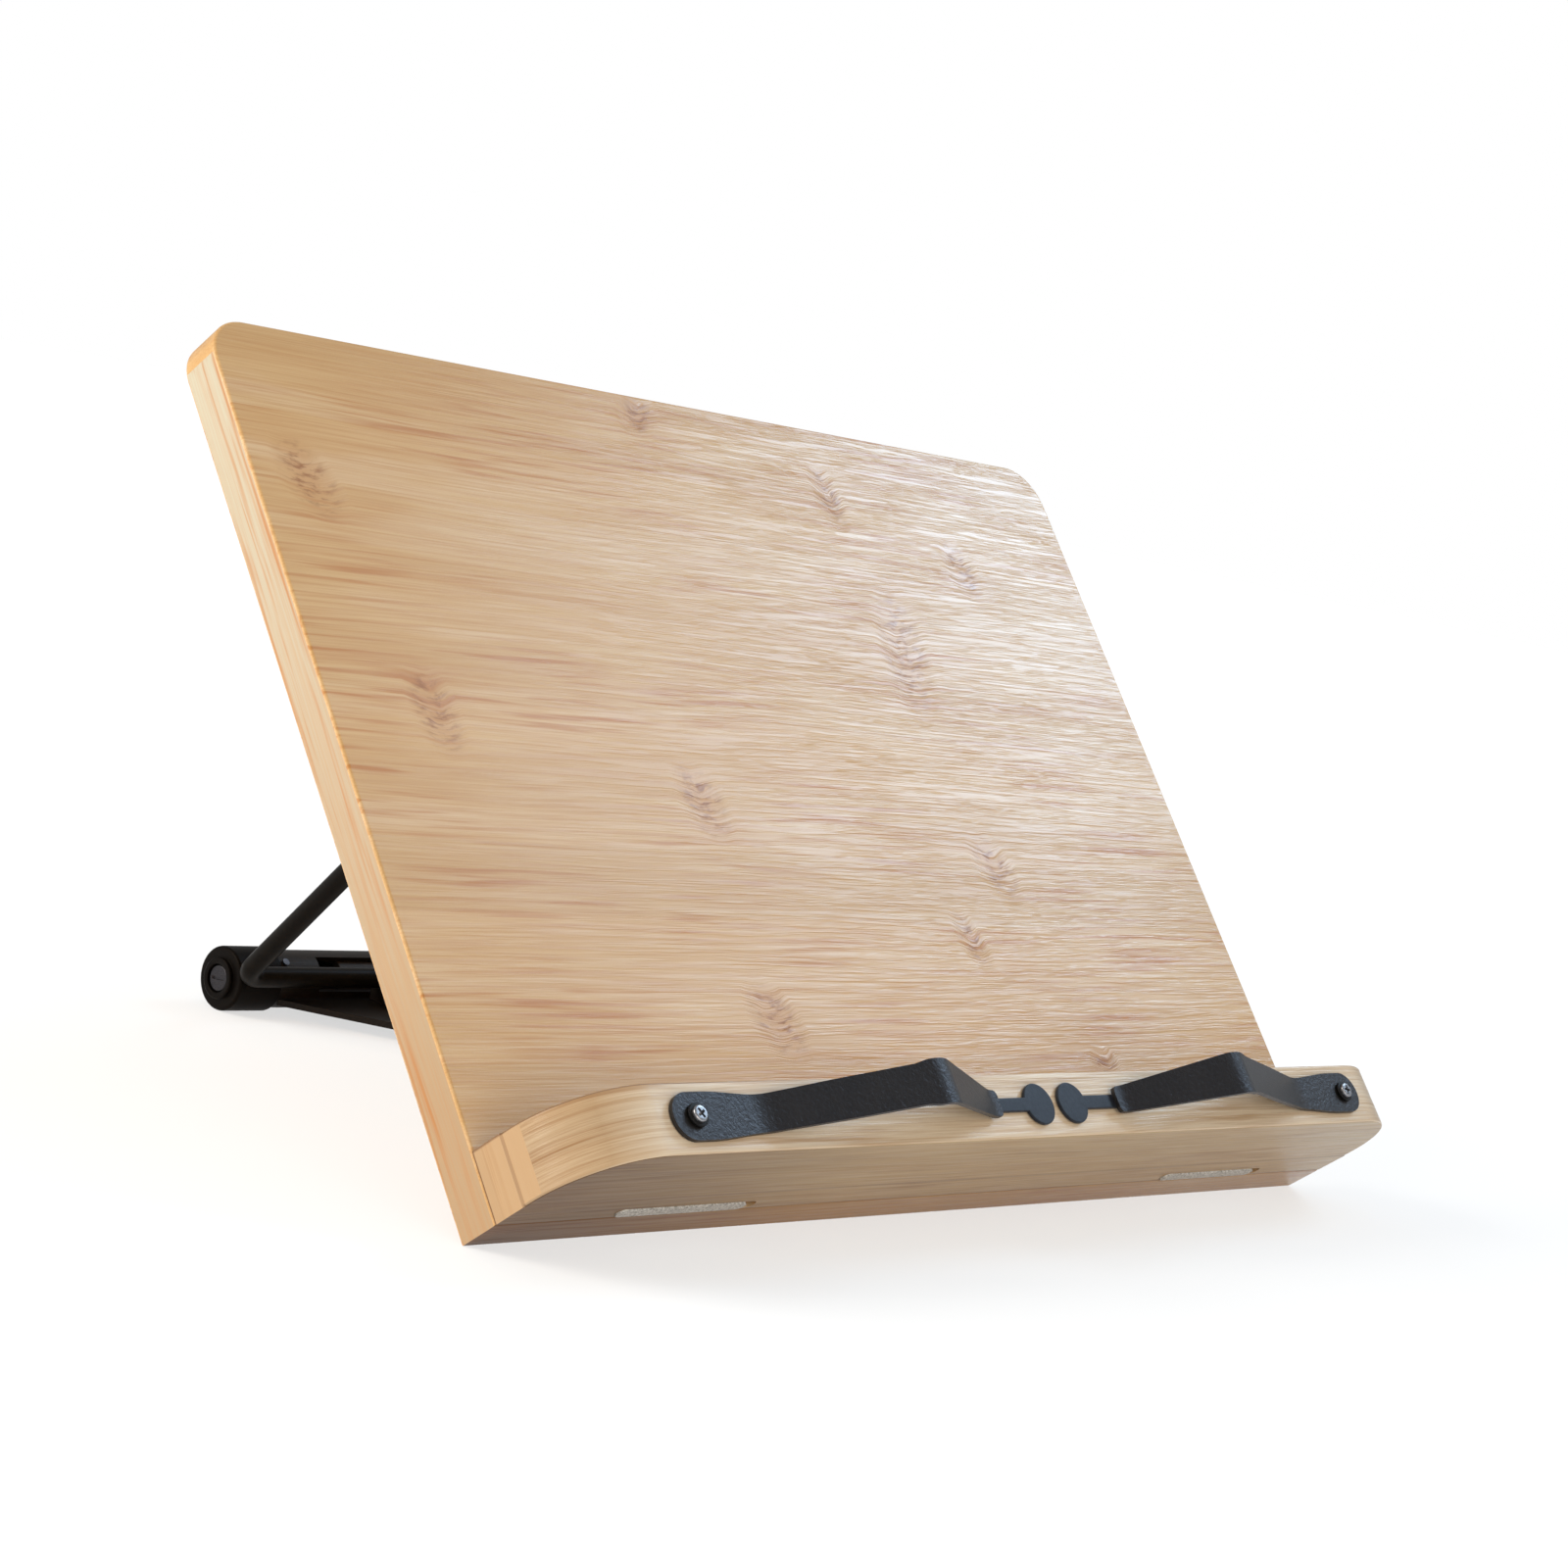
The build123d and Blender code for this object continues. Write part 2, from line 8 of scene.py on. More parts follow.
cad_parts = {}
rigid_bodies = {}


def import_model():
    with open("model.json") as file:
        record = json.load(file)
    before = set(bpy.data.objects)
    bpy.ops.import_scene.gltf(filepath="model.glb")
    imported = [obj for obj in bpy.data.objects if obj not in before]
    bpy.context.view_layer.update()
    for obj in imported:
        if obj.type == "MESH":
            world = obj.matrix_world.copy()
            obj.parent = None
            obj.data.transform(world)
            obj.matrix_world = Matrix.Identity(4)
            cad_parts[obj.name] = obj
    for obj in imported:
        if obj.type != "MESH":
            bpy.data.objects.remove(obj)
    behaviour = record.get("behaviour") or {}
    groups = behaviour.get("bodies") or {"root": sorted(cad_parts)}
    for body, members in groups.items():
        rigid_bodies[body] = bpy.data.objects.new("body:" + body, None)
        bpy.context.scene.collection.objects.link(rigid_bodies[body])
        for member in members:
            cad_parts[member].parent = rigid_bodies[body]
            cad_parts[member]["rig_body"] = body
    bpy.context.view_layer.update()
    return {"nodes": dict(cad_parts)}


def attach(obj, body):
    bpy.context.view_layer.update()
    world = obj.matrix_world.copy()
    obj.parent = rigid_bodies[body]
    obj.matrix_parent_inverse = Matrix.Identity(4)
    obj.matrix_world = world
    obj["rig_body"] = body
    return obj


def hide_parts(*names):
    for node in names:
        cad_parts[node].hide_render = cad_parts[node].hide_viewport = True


# Book stand: a bamboo board with a ledge, two steel page clips and a folding black steel leg.
# Shape values are in millimetres; a piece is turned to metres when it is put in its place.

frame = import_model()
mm = 0.001
print("frame loaded:", len(frame["nodes"]), "nodes")

# Where the board stands. On it, x runs along the board, y up it and z out of its front.
board = {
    "tilt": radians(49.3),
    "foot": (0.0, -83.282, -0.369),
    "frontOut": 12.5,
    "ledgeOut": 48.5,
}
boardFoot = Vector(board["foot"]) * mm
boardPlace = Matrix.Translation(boardFoot) @ Matrix.Rotation(board["tilt"], 4, "X") @ Matrix.Scale(mm, 4)
floorPlace = Matrix.Scale(mm, 4)


def toLinear(hexText):
    channels = []
    for i in (1, 3, 5):
        value = int(hexText[i:i + 2], 16) / 255
        channels.append(value / 12.92 if value <= 0.04045 else ((value + 0.055) / 1.055) ** 2.4)
    return (*channels, 1.0)


def addNode(tree, kind, settings=None, links=None):
    node = tree.nodes.new(kind)
    plain = {k: v for k, v in (settings or {}).items() if isinstance(k, str) and k not in node.inputs}
    for key, value in plain.items():
        setattr(node, key, value)
    for key, value in (settings or {}).items():
        if key not in plain:
            node.inputs[key].default_value = value
    for key, source in (links or {}).items():
        tree.links.new(source, node.inputs[key])
    return node


def setRamp(node, stops):
    ramp = node.color_ramp
    while len(ramp.elements) < len(stops):
        ramp.elements.new(1.0)
    for element, (position, colour) in zip(ramp.elements, stops):
        element.position = position
        element.color = toLinear(colour)
    return node


def newMaterial(name, settings):
    material = bpy.data.materials.new(name)
    material.use_nodes = True
    shader = material.node_tree.nodes["Principled BSDF"]
    for key, value in settings.items():
        shader.inputs[key].default_value = toLinear(value) if isinstance(value, str) else value
    return material, material.node_tree, shader


# Laminated bamboo, planed, brushed and sealed with satin lacquer: long, nearly straight fibres in
# strips 20 mm wide, orange streaks, brown dashes where a cane had its nodes, and a soft gloss
# in which the brushed fibres stand out.
nodeMarks = [
    # x, up, half width, half height, lean in degrees
    (-152, 200, 10, 15, -28),
    (-17, 239, 11, 7, -35),
    (57, 222, 7, 13, -6),
    (110, 202, 8, 13, -14),
    (65, 169, 12, 26, 12),
    (-135, 135, 9, 15, -6),
    (-48, 114, 10, 14, -16),
    (-50, 50, 10, 14, -26),
    (68, 98, 9, 13, -30),
    (44, 75, 6, 11, -20),
    (84, 36, 7, 6, -10),
]
grainSizes = {
    # patches per mm along the fibres and across them, octaves, roughness of the noise
    "wander": (0.007, 0.03, 1.0, 0.55),
    "ripple": (0.09, 0.14, 2.0, 0.55),
    "cloud": (0.007, 0.06, 3.0, 0.6),
    "line": (0.024, 2.0, 3.0, 0.6),
    "streak": (0.019, 0.62, 2.0, 0.5),
    "crowd": (0.014, 0.045, 2.0, 0.5),
    "brushed": (0.025, 0.85, 3.0, 0.62),
    "dash": (0.20, 0.70, 3.0, 0.6),
}
bamboo = {
    # how squarely a face looks up or sideways before its fibres run another way
    "capFacing": 0.8,
    "endFacing": 0.985,
    # from where to where the painted shade on a round corner grows
    "cornerShadeFacing": (0.1, 0.6),
    # depth of a node mark, and how far the fibres bow round it
    "markDeep": 6,
    "markRipple": 5.0,
    # how far the pattern moves from one strip to the next, and how much lighter or darker it gets
    "stripShift": (70, 0, 9),
    "stripShade": 0.03,
    # heights up the board between which the end bands grow paler with a painted reflection, how pale, and how much of
    # the lines stays
    "endFrom": 30,
    "endTo": 235,
    "endPale": 0.9,
    "endCalm": 0.6,
    "seamShare": 0.012,
    # how far up the painted shadow along the ledge's top rim fades in
    "rimShadowFade": 0.4,
    # colour of the glue lines, and of the painted shadow along the ledge's top rim
    "glueAndShadowColour": "#6E4526",
    "roughSpread": 0.06,
}


def bambooMaterial(name, look):
    material, tree, shader = newMaterial(name, {
        "IOR": 1.5,
        "Specular IOR Level": look["gloss"],
        "Coat Roughness": look["lacquerRough"],
        "Coat IOR": 1.5,
    })

    def grain(source, pattern):
        along, across, octaves, roughness = grainSizes[pattern]
        scaled = addNode(tree, "ShaderNodeMapping", {
            "Scale": (along, across, across * look["through"]),
        }, {0: source})
        return addNode(tree, "ShaderNodeTexNoise", {
            "Scale": 1.0, "Detail": octaves, "Roughness": roughness,
        }, {0: scaled.outputs[0]})

    def share(source, low, high, top=1.0, bottom=0.0):
        return addNode(tree, "ShaderNodeMapRange", {1: low, 2: high, 3: bottom, 4: top}, {0: source}).outputs[0]

    def maths(operation, first, second=0.0):
        node = addNode(tree, "ShaderNodeMath", {"operation": operation})
        for index, value in enumerate((first, second)):
            if isinstance(value, (int, float)):
                node.inputs[index].default_value = value
            else:
                tree.links.new(value, node.inputs[index])
        return node.outputs[0]

    def tint(amount, below, above, blend="MIX"):
        node = addNode(tree, "ShaderNodeMix", {"data_type": "RGBA", "blend_type": blend}, {0: amount})
        for index, value in ((6, below), (7, above)):
            if isinstance(value, str):
                node.inputs[index].default_value = toLinear(value)
            else:
                tree.links.new(value, node.inputs[index])
        return node.outputs[2]

    def swapped(first, second, third):
        return addNode(tree, "ShaderNodeCombineXYZ", links={0: first, 1: second, 2: third}).outputs[0]

    def choose(amount, first, second):
        return addNode(tree, "ShaderNodeMix", {"data_type": "VECTOR"}, {0: amount, 4: first, 5: second}).outputs[1]

    # where a point lies on the board, and which way it faces there
    coords = addNode(tree, "ShaderNodeTexCoord")
    onBoard = addNode(tree, "ShaderNodeMapping", {
        "vector_type": "TEXTURE",
        "Location": boardFoot,
        "Rotation": (board["tilt"], 0, 0),
        "Scale": (mm, mm, mm),
    }, {"Vector": coords.outputs["Object"]}).outputs[0]
    facing = addNode(tree, "ShaderNodeVectorRotate", {
        "rotation_type": "X_AXIS",
        "Angle": -board["tilt"],
    }, {"Vector": coords.outputs["Normal"]})
    across, up, out = addNode(tree, "ShaderNodeSeparateXYZ", links={0: onBoard}).outputs
    facingAcross, facingUp = addNode(tree, "ShaderNodeSeparateXYZ", links={0: facing.outputs[0]}).outputs[:2]
    # fibres run along x, except on the end bands, where they run up the edge
    onCap = maths("GREATER_THAN", maths("ABSOLUTE", facingUp), bamboo["capFacing"])
    onEnd = maths("GREATER_THAN", maths("ABSOLUTE", facingAcross), bamboo["endFacing"])
    fibre = choose(onCap, onBoard, swapped(across, out, up))
    fibre = choose(onEnd, fibre, swapped(up, out, across))

    # node marks: soft ellipses on the front face
    markShare = None
    for x, markUp, halfWide, halfTall, lean in nodeMarks if look["marks"] else []:
        markPlace = addNode(tree, "ShaderNodeMapping", {
            "vector_type": "TEXTURE",
            "Location": (x, markUp, board["frontOut"]),
            "Rotation": (0, 0, radians(-lean)),
            "Scale": (halfWide, halfTall, bamboo["markDeep"]),
        }, {0: onBoard})
        spot = addNode(tree, "ShaderNodeTexGradient", {"gradient_type": "SPHERICAL"}, {0: markPlace.outputs[0]})
        markShare = maths("MAXIMUM", markShare, spot.outputs[1]) if markShare else spot.outputs[1]

    # fibres wander by a millimetre or two over a hand's width, and bow round the nodes
    bent = addNode(tree, "ShaderNodeVectorMath", {"operation": "MULTIPLY_ADD", 1: (0, look["wander"], 0)}, {
        0: grain(fibre, "wander").outputs["Color"], 2: fibre,
    }).outputs[0]
    if look["marks"]:
        ripple = addNode(tree, "ShaderNodeVectorMath", {"operation": "SCALE"}, {
            0: grain(fibre, "ripple").outputs["Color"],
            "Scale": share(markShare, 0.0, 0.8, bamboo["markRipple"]),
        })
        bent = addNode(tree, "ShaderNodeVectorMath", {"operation": "MULTIPLY_ADD", 1: (0, 1, 0)}, {
            0: ripple.outputs[0], 2: bent,
        }).outputs[0]
    # strips, each with its own shade and its own stretch of fibre
    bentUp = addNode(tree, "ShaderNodeSeparateXYZ", links={0: bent}).outputs[1]
    stripAt = maths("DIVIDE", maths("SUBTRACT", bentUp, look["stripFrom"]), look["strip"])
    strip = addNode(tree, "ShaderNodeTexWhiteNoise", {"noise_dimensions": "1D"}, {"W": maths("FLOOR", stripAt)})
    seamAway = maths("PINGPONG", stripAt, 0.5)
    run = addNode(tree, "ShaderNodeVectorMath", {"operation": "MULTIPLY_ADD", 1: bamboo["stripShift"]}, {
        0: strip.outputs["Color"], 2: bent,
    }).outputs[0]
    cloud, line, streak, crowd = (
        grain(run, pattern).outputs[0] for pattern in ("cloud", "line", "streak", "crowd"))
    # brushed ridges a millimetre or two apart, with steep sides that catch the light
    brushed = share(grain(run, "brushed").outputs[0], 0.42, 0.58)

    # the end bands have a paler tone of their own, and a painted reflection makes them palest at their top
    ground = setRamp(addNode(tree, "ShaderNodeValToRGB", links={0: cloud}), look["ground"]).outputs[0]
    endToneAndReflection = tint(share(up, bamboo["endFrom"], bamboo["endTo"]), look["endLow"], look["endHigh"])
    colour = tint(maths("MULTIPLY", onEnd, bamboo["endPale"]), ground, endToneAndReflection)
    lineShare = maths("MULTIPLY", share(line, 0.40, 0.68, look["lines"]), share(onEnd, 0, 1, bamboo["endCalm"], 1.0))
    colour = tint(lineShare, colour, look["lineColour"])
    streakShare = maths("MULTIPLY", share(streak, 0.50, 0.66), share(crowd, 0.42, 0.60, look["streaks"]))
    colour = tint(streakShare, colour, look["streakColour"])
    seamStrength = share(strip.outputs["Value"], 0.3, 1.0, look["seams"])
    seam = maths("MULTIPLY", share(seamAway, bamboo["seamShare"], 0.0), seamStrength)
    colour = tint(seam, colour, look["lineColour"])
    height = maths("ADD", brushed, maths("MULTIPLY", line, 0.5))

    if look["marks"]:
        dash = grain(bent, "dash").outputs[0]
        colour = tint(share(markShare, 0.0, 0.8, 0.45), colour, look["markGlow"])
        dashShare = maths("MULTIPLY", share(markShare, 0.1, 0.6), share(dash, 0.48, 0.66, 0.8))
        colour = tint(dashShare, colour, look["markColour"])
        height = maths("ADD", height, maths("MULTIPLY", dashShare, 0.5))

    # painted shade: the underside is darker, most of all at its left end
    below = maths("LESS_THAN", facingUp, -bamboo["capFacing"])
    belowShade = tint(share(across, -165, -60), look["belowLeftShade"], look["belowRightShade"])
    colour = tint(below, colour, belowShade, "MULTIPLY")
    # painted shade: the round corners are darker than the long face, the more they turn sideways
    if look["cornerShade"]:
        corner = share(maths("ABSOLUTE", facingAcross), *bamboo["cornerShadeFacing"])
        colour = tint(maths("SUBTRACT", corner, onEnd), colour, look["cornerShade"], "MULTIPLY")
    # dark glue lines where the strip meets the board and the nose
    for glueOut, half, strength in look["glueAt"]:
        near = addNode(tree, "ShaderNodeMath", {"operation": "COMPARE", 1: glueOut, 2: half}, {0: out}).outputs[0]
        colour = tint(maths("MULTIPLY", near, strength), colour, bamboo["glueAndShadowColour"])
    # painted shadow: a dark line along the ledge's top rim, towards its left end
    if look["rimShadowAt"]:
        rimShadowHeight = share(up, look["rimShadowAt"], look["rimShadowAt"] + bamboo["rimShadowFade"])
        rim = maths("MULTIPLY", rimShadowHeight, share(across, -70, -120, 0.7))
        colour = tint(rim, colour, bamboo["glueAndShadowColour"])
    stripValue = share(strip.outputs["Value"], 0.0, 1.0, 1 + bamboo["stripShade"], 1 - bamboo["stripShade"])
    shaded = addNode(tree, "ShaderNodeHueSaturation", links={"Value": stripValue, "Color": colour})
    tree.links.new(shaded.outputs[0], shader.inputs["Base Color"])
    smooth, coarse = look["roughness"] - bamboo["roughSpread"], look["roughness"] + bamboo["roughSpread"]
    tree.links.new(share(brushed, 0.0, 1.0, smooth, coarse), shader.inputs["Roughness"])

    # the lacquer lies thicker towards the right end
    lacquer = share(across, -60, 120, look["lacquerRight"], look["lacquer"])
    tree.links.new(lacquer, shader.inputs["Coat Weight"])
    # the brushed relief is deeper towards the right end, and faint on the end bands
    worn = share(across, -110, 30, look["relief"], look["relief"] * look["smoothLeft"])
    worn = maths("MULTIPLY", worn, share(onEnd, 0, 1, 0.3, 1.0))
    bump = addNode(tree, "ShaderNodeBump", {"Distance": look["depth"] * mm}, {"Height": height, "Strength": worn})
    tree.links.new(bump.outputs[0], shader.inputs["Normal"])
    tree.links.new(bump.outputs[0], shader.inputs["Coat Normal"])
    return material


boardLook = {
    "roughness": 0.40,
    "gloss": 0.2,
    "lacquer": 0.34,
    "lacquerRight": 0.85,
    "lacquerRough": 0.22,
    "wander": 4.0,
    "through": 1.0,
    "strip": 20.0,
    "stripFrom": 1.5,
    "lines": 0.5,
    "streaks": 0.75,
    "seams": 0.6,
    "relief": 0.8,
    "smoothLeft": 0.2,
    "depth": 0.13,
    "ground": [(0.34, "#DAAF76"), (0.50, "#E0B77F"), (0.64, "#E6C293")],
    "lineColour": "#C98E52",
    "streakColour": "#C27B38",
    "marks": True,
    "markGlow": "#C88C50",
    "markColour": "#9A5C28",
    # end band colour at its foot, and at its top with a painted reflection
    "endLow": "#B89C7C",
    "endHigh": "#CBC6B2",
    # painted shade on the underside, towards its left end and towards its right end
    "belowLeftShade": "#7E6A50",
    "belowRightShade": "#D4C8AE",
    "cornerShade": None,
    "glueAt": [],
    "rimShadowAt": 0,
}
ledgeLook = {
    **boardLook,
    "through": 0.02,
    "lacquerRight": 0.45,
    "strip": 9.0,
    "stripFrom": 0.0,
    "lines": 0.6,
    "streaks": 0.7,
    "seams": 0.0,
    "smoothLeft": 0.6,
    "relief": 0.4,
    "ground": [(0.34, "#E8D0B0"), (0.5, "#EDD7B9"), (0.64, "#F1DFC5")],
    "lineColour": "#C39A6E",
    "streakColour": "#B4885A",
    "marks": False,
    "endLow": "#BF9A70",
    "endHigh": "#BF9A70",
    # painted shade on the round corners of the nose
    "cornerShade": "#D0C2B0",
    # out from the board's rear face, half width, strength
    "glueAt": [(12.5, 0.3, 0.9), (22.6, 0.55, 0.35)],
    # height up the board from which the painted shadow along the nose's top rim starts
    "rimShadowAt": 17.35,
}

boardBamboo = bambooMaterial("bamboo board, satin lacquer", boardLook)
ledgeBamboo = bambooMaterial("bamboo ledge, satin lacquer", ledgeLook)


# Powder-coated steel and moulded plastic: dark, with a fine relief and a tone that drifts a little.
coatTone = {"cloudsPerMm": 0.12, "cloudShare": 0.5, "darkAt": 0.50, "lightAt": 0.95}


def coatMaterial(name, look):
    material, tree, shader = newMaterial(name, {
        "Roughness": look["roughness"],
        "IOR": 1.5,
        "Specular IOR Level": look["gloss"],
        "Specular Tint": look["sheen"],
    })
    coords = addNode(tree, "ShaderNodeTexCoord")
    grainScale = addNode(tree, "ShaderNodeMapping", {"vector_type": "TEXTURE", "Scale": (mm, mm, mm)}, {
        0: coords.outputs["Object"],
    })
    # real wrinkles are about 0.3 mm; they are drawn two to four times as wide so that they show
    wrinkle = addNode(tree, "ShaderNodeTexNoise", {
        "Scale": 1 / look["wrinkle"], "Detail": 3.0, "Roughness": 0.6, "Distortion": 0.6,
    }, {0: grainScale.outputs[0]})
    cloud = addNode(tree, "ShaderNodeTexNoise", {
        "Scale": coatTone["cloudsPerMm"], "Detail": 2.0,
    }, {0: grainScale.outputs[0]})
    mixed = addNode(tree, "ShaderNodeMath", {"operation": "MULTIPLY_ADD", 1: coatTone["cloudShare"]}, {
        0: cloud.outputs[0], 2: wrinkle.outputs[0],
    })
    tone = setRamp(addNode(tree, "ShaderNodeValToRGB", links={0: mixed.outputs[0]}), [
        (coatTone["darkAt"], look["dark"]), (coatTone["lightAt"], look["light"]),
    ])
    tree.links.new(tone.outputs[0], shader.inputs["Base Color"])
    bump = addNode(tree, "ShaderNodeBump", {
        "Strength": look["relief"], "Distance": look["depth"] * mm,
    }, {"Height": wrinkle.outputs[0]})
    tree.links.new(bump.outputs[0], shader.inputs["Normal"])
    return material


# Powder coat: black, finely wrinkled where the powder melted, with a cool satin sheen.
clipCoat = coatMaterial("clip steel, black powder coat", {
    "roughness": 0.40, "gloss": 0.48, "sheen": "#F0F0FF", "wrinkle": 1.1, "depth": 0.16,
    "dark": "#0C0A06", "light": "#1A1713", "relief": 1.0,
})
tongueCoat = coatMaterial("tongue steel, smooth black coat", {
    "roughness": 0.40, "gloss": 0.3, "sheen": "#DCE4F6", "wrinkle": 1.2, "depth": 0.05,
    "dark": "#191B20", "light": "#262A32", "relief": 0.5,
})
legCoat = coatMaterial("leg steel, satin black coat", {
    "roughness": 0.45, "gloss": 0.2, "sheen": "#E8E2DC", "wrinkle": 0.8, "depth": 0.05,
    "dark": "#1A1613", "light": "#27211D", "relief": 0.5,
})
rodCoat = coatMaterial("rod steel, satin black coat", {
    "roughness": 0.36, "gloss": 0.07, "sheen": "#E4E6F0", "wrinkle": 0.9, "depth": 0.04,
    "dark": "#0F0C08", "light": "#17130E", "relief": 0.4,
})
# Moulded plastic: black or dark grey, with a fine spark texture.
footPlastic = coatMaterial("foot cap ABS, moulded", {
    "roughness": 0.42, "gloss": 0.06, "sheen": "#E6D2C0", "wrinkle": 0.6, "depth": 0.05,
    "dark": "#060505", "light": "#0E0B09", "relief": 0.5,
})
bushPlastic = coatMaterial("bush nylon, black", {
    "roughness": 0.5, "gloss": 0.2, "sheen": "#FFFFFF", "wrinkle": 0.8, "depth": 0.04,
    "dark": "#0C0A0B", "light": "#151314", "relief": 0.3,
})
corePlastic = coatMaterial("core sleeve, dark grey nylon", {
    "roughness": 0.55, "gloss": 0.3, "sheen": "#FFFFFF", "wrinkle": 0.9, "depth": 0.05,
    "dark": "#2B2725", "light": "#3A3533", "relief": 0.4,
})


# Bare, plated or blackened steel: turned or stamped, with faint marks of the tool.
toolMarks = {"perMetre": (400, 4000, 4000), "relief": 0.2, "depth": 0.02}


def steelMaterial(name, dark, light, smoothest, roughest):
    material, tree, shader = newMaterial(name, {"Metallic": 1.0})
    coords = addNode(tree, "ShaderNodeTexCoord")
    scratchScale = addNode(tree, "ShaderNodeMapping", {"Scale": toolMarks["perMetre"]}, {0: coords.outputs["Object"]})
    scratch = addNode(tree, "ShaderNodeTexNoise", {"Scale": 1.0, "Detail": 3.0}, {0: scratchScale.outputs[0]})
    tone = setRamp(addNode(tree, "ShaderNodeValToRGB", links={0: scratch.outputs[0]}), [(0.3, dark), (0.7, light)])
    rough = addNode(tree, "ShaderNodeMapRange", {3: smoothest, 4: roughest}, {0: scratch.outputs[0]})
    bump = addNode(tree, "ShaderNodeBump", {
        "Strength": toolMarks["relief"], "Distance": toolMarks["depth"] * mm,
    }, {"Height": scratch.outputs[0]})
    tree.links.new(tone.outputs[0], shader.inputs["Base Color"])
    tree.links.new(rough.outputs[0], shader.inputs["Roughness"])
    tree.links.new(bump.outputs[0], shader.inputs["Normal"])
    return material


screwSteel = steelMaterial("screw steel, bright zinc", "#8A8A8E", "#B4B4B8", 0.22, 0.4)
pinSteel = steelMaterial("pin steel, ground", "#8F8F93", "#BEBEC2", 0.25, 0.4)
rivetSteel = steelMaterial("rivet steel, dull", "#4C4C50", "#6C6C72", 0.4, 0.55)
screwBlack = steelMaterial("wood screw, black oxide", "#2A292B", "#454347", 0.3, 0.48)

# Closed-cell foam strip: pale grey, with small open pores and fuzz from cutting.
foam = {"poresPerMm": 1.4, "relief": 0.8, "depth": 0.2}


def foamMaterial(name):
    material, tree, shader = newMaterial(name, {"Roughness": 0.9})
    coords = addNode(tree, "ShaderNodeTexCoord")
    poreScale = addNode(tree, "ShaderNodeMapping", {"vector_type": "TEXTURE", "Scale": (mm, mm, mm)}, {
        0: coords.outputs["Object"],
    })
    pore = addNode(tree, "ShaderNodeTexNoise", {
        "Scale": foam["poresPerMm"], "Detail": 4.0, "Roughness": 0.7,
    }, {0: poreScale.outputs[0]})
    tone = setRamp(addNode(tree, "ShaderNodeValToRGB", links={0: pore.outputs[0]}), [
        (0.36, "#A3A2A0"), (0.5, "#DEDEDC"), (0.62, "#FAFAF8"),
    ])
    bump = addNode(tree, "ShaderNodeBump", {
        "Strength": foam["relief"], "Distance": foam["depth"] * mm,
    }, {"Height": pore.outputs[0]})
    tree.links.new(tone.outputs[0], shader.inputs["Base Color"])
    tree.links.new(bump.outputs[0], shader.inputs["Normal"])
    return material


gripFoam = foamMaterial("grip foam, pale grey")
dowelBeech = bambooMaterial("dowel beech, plain", {
    **ledgeLook, "glueAt": [], "rimShadowAt": 0, "lacquer": 0.0, "lacquerRight": 0.0, "roughness": 0.6,
})
print("materials made:", len(bpy.data.materials))

nodeFinish = {
    "back_board": boardBamboo,
    "ledge_strip": ledgeBamboo,
    "ledge_nose": ledgeBamboo,
    "ledge_dowels": dowelBeech,
    "grip_strip_left": gripFoam,
    "grip_strip_right": gripFoam,
    "clip_strap_left": clipCoat,
    "clip_strap_right": clipCoat,
    "clip_tongue_left": tongueCoat,
    "clip_tongue_right": tongueCoat,
    "clip_bush_left": bushPlastic,
    "clip_bush_right": bushPlastic,
    "clip_screw_left": screwSteel,
    "clip_screw_right": screwSteel,
    "hinge_leaf": legCoat,
    "hinge_pin": pinSteel,
    "hinge_screws": screwBlack,
    "strut_bracket_left": legCoat,
    "strut_bracket_right": legCoat,
    "bracket_screws": screwBlack,
    "strut_rod": rodCoat,
    "leg_plate": legCoat,
    "rack_left": legCoat,
    "rack_right": legCoat,
    "rear_tube": legCoat,
    "tube_core": corePlastic,
    "tube_rivets": rivetSteel,
    "foot_cap_left": footPlastic,
    "foot_cap_right": footPlastic,
    "foot_screw_left": screwBlack,
    "foot_screw_right": screwBlack,
}
for nodeName, finish in nodeFinish.items():
    node = frame["nodes"][nodeName]
    node.data.materials.clear()
    node.data.materials.append(finish)

finishing = {"weldWithin": 0.002, "sharpAngle": 40, "flatRimAngle": 70}


def finishPiece(name, bm, place, bodyName, nodeName):
    # bm is in millimetres and place takes it to its place at rest, in metres
    bmesh.ops.transform(bm, matrix=place, verts=bm.verts)
    bmesh.ops.remove_doubles(bm, verts=bm.verts, dist=finishing["weldWithin"] * mm)
    bmesh.ops.recalc_face_normals(bm, faces=bm.faces)
    for face in bm.faces:
        face.smooth = True
    for edge in bm.edges:
        edge.smooth = edge.calc_face_angle(0) < radians(finishing["sharpAngle"])
    mesh = bpy.data.meshes.new(name)
    bm.to_mesh(mesh)
    bm.free()
    mesh.materials.append(nodeFinish[nodeName])
    piece = bpy.data.objects.new(name, mesh)
    bpy.context.scene.collection.objects.link(piece)
    even = piece.modifiers.new("even shading", "WEIGHTED_NORMAL")
    even.keep_sharp = True
    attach(piece, bodyName)
    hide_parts(nodeName)


def roundRims(bm, rims, width, segments):
    bmesh.ops.bevel(bm, geom=rims, offset=width, offset_type="OFFSET", segments=segments, profile=0.5,
                    affect="EDGES", material=-1, clamp_overlap=True)


def roundCorners(bm, corners, reach, segments):
    bmesh.ops.bevel(bm, geom=corners, offset=reach, segments=segments, profile=0.5, affect="VERTICES", material=-1)


def softenEdges(bm, width, segments, angle):
    roundRims(bm, [e for e in bm.edges if e.calc_face_angle(0) > radians(angle)], width, segments)


def newVerts(grown):
    return [g for g in grown["geom"] if isinstance(g, bmesh.types.BMVert)]


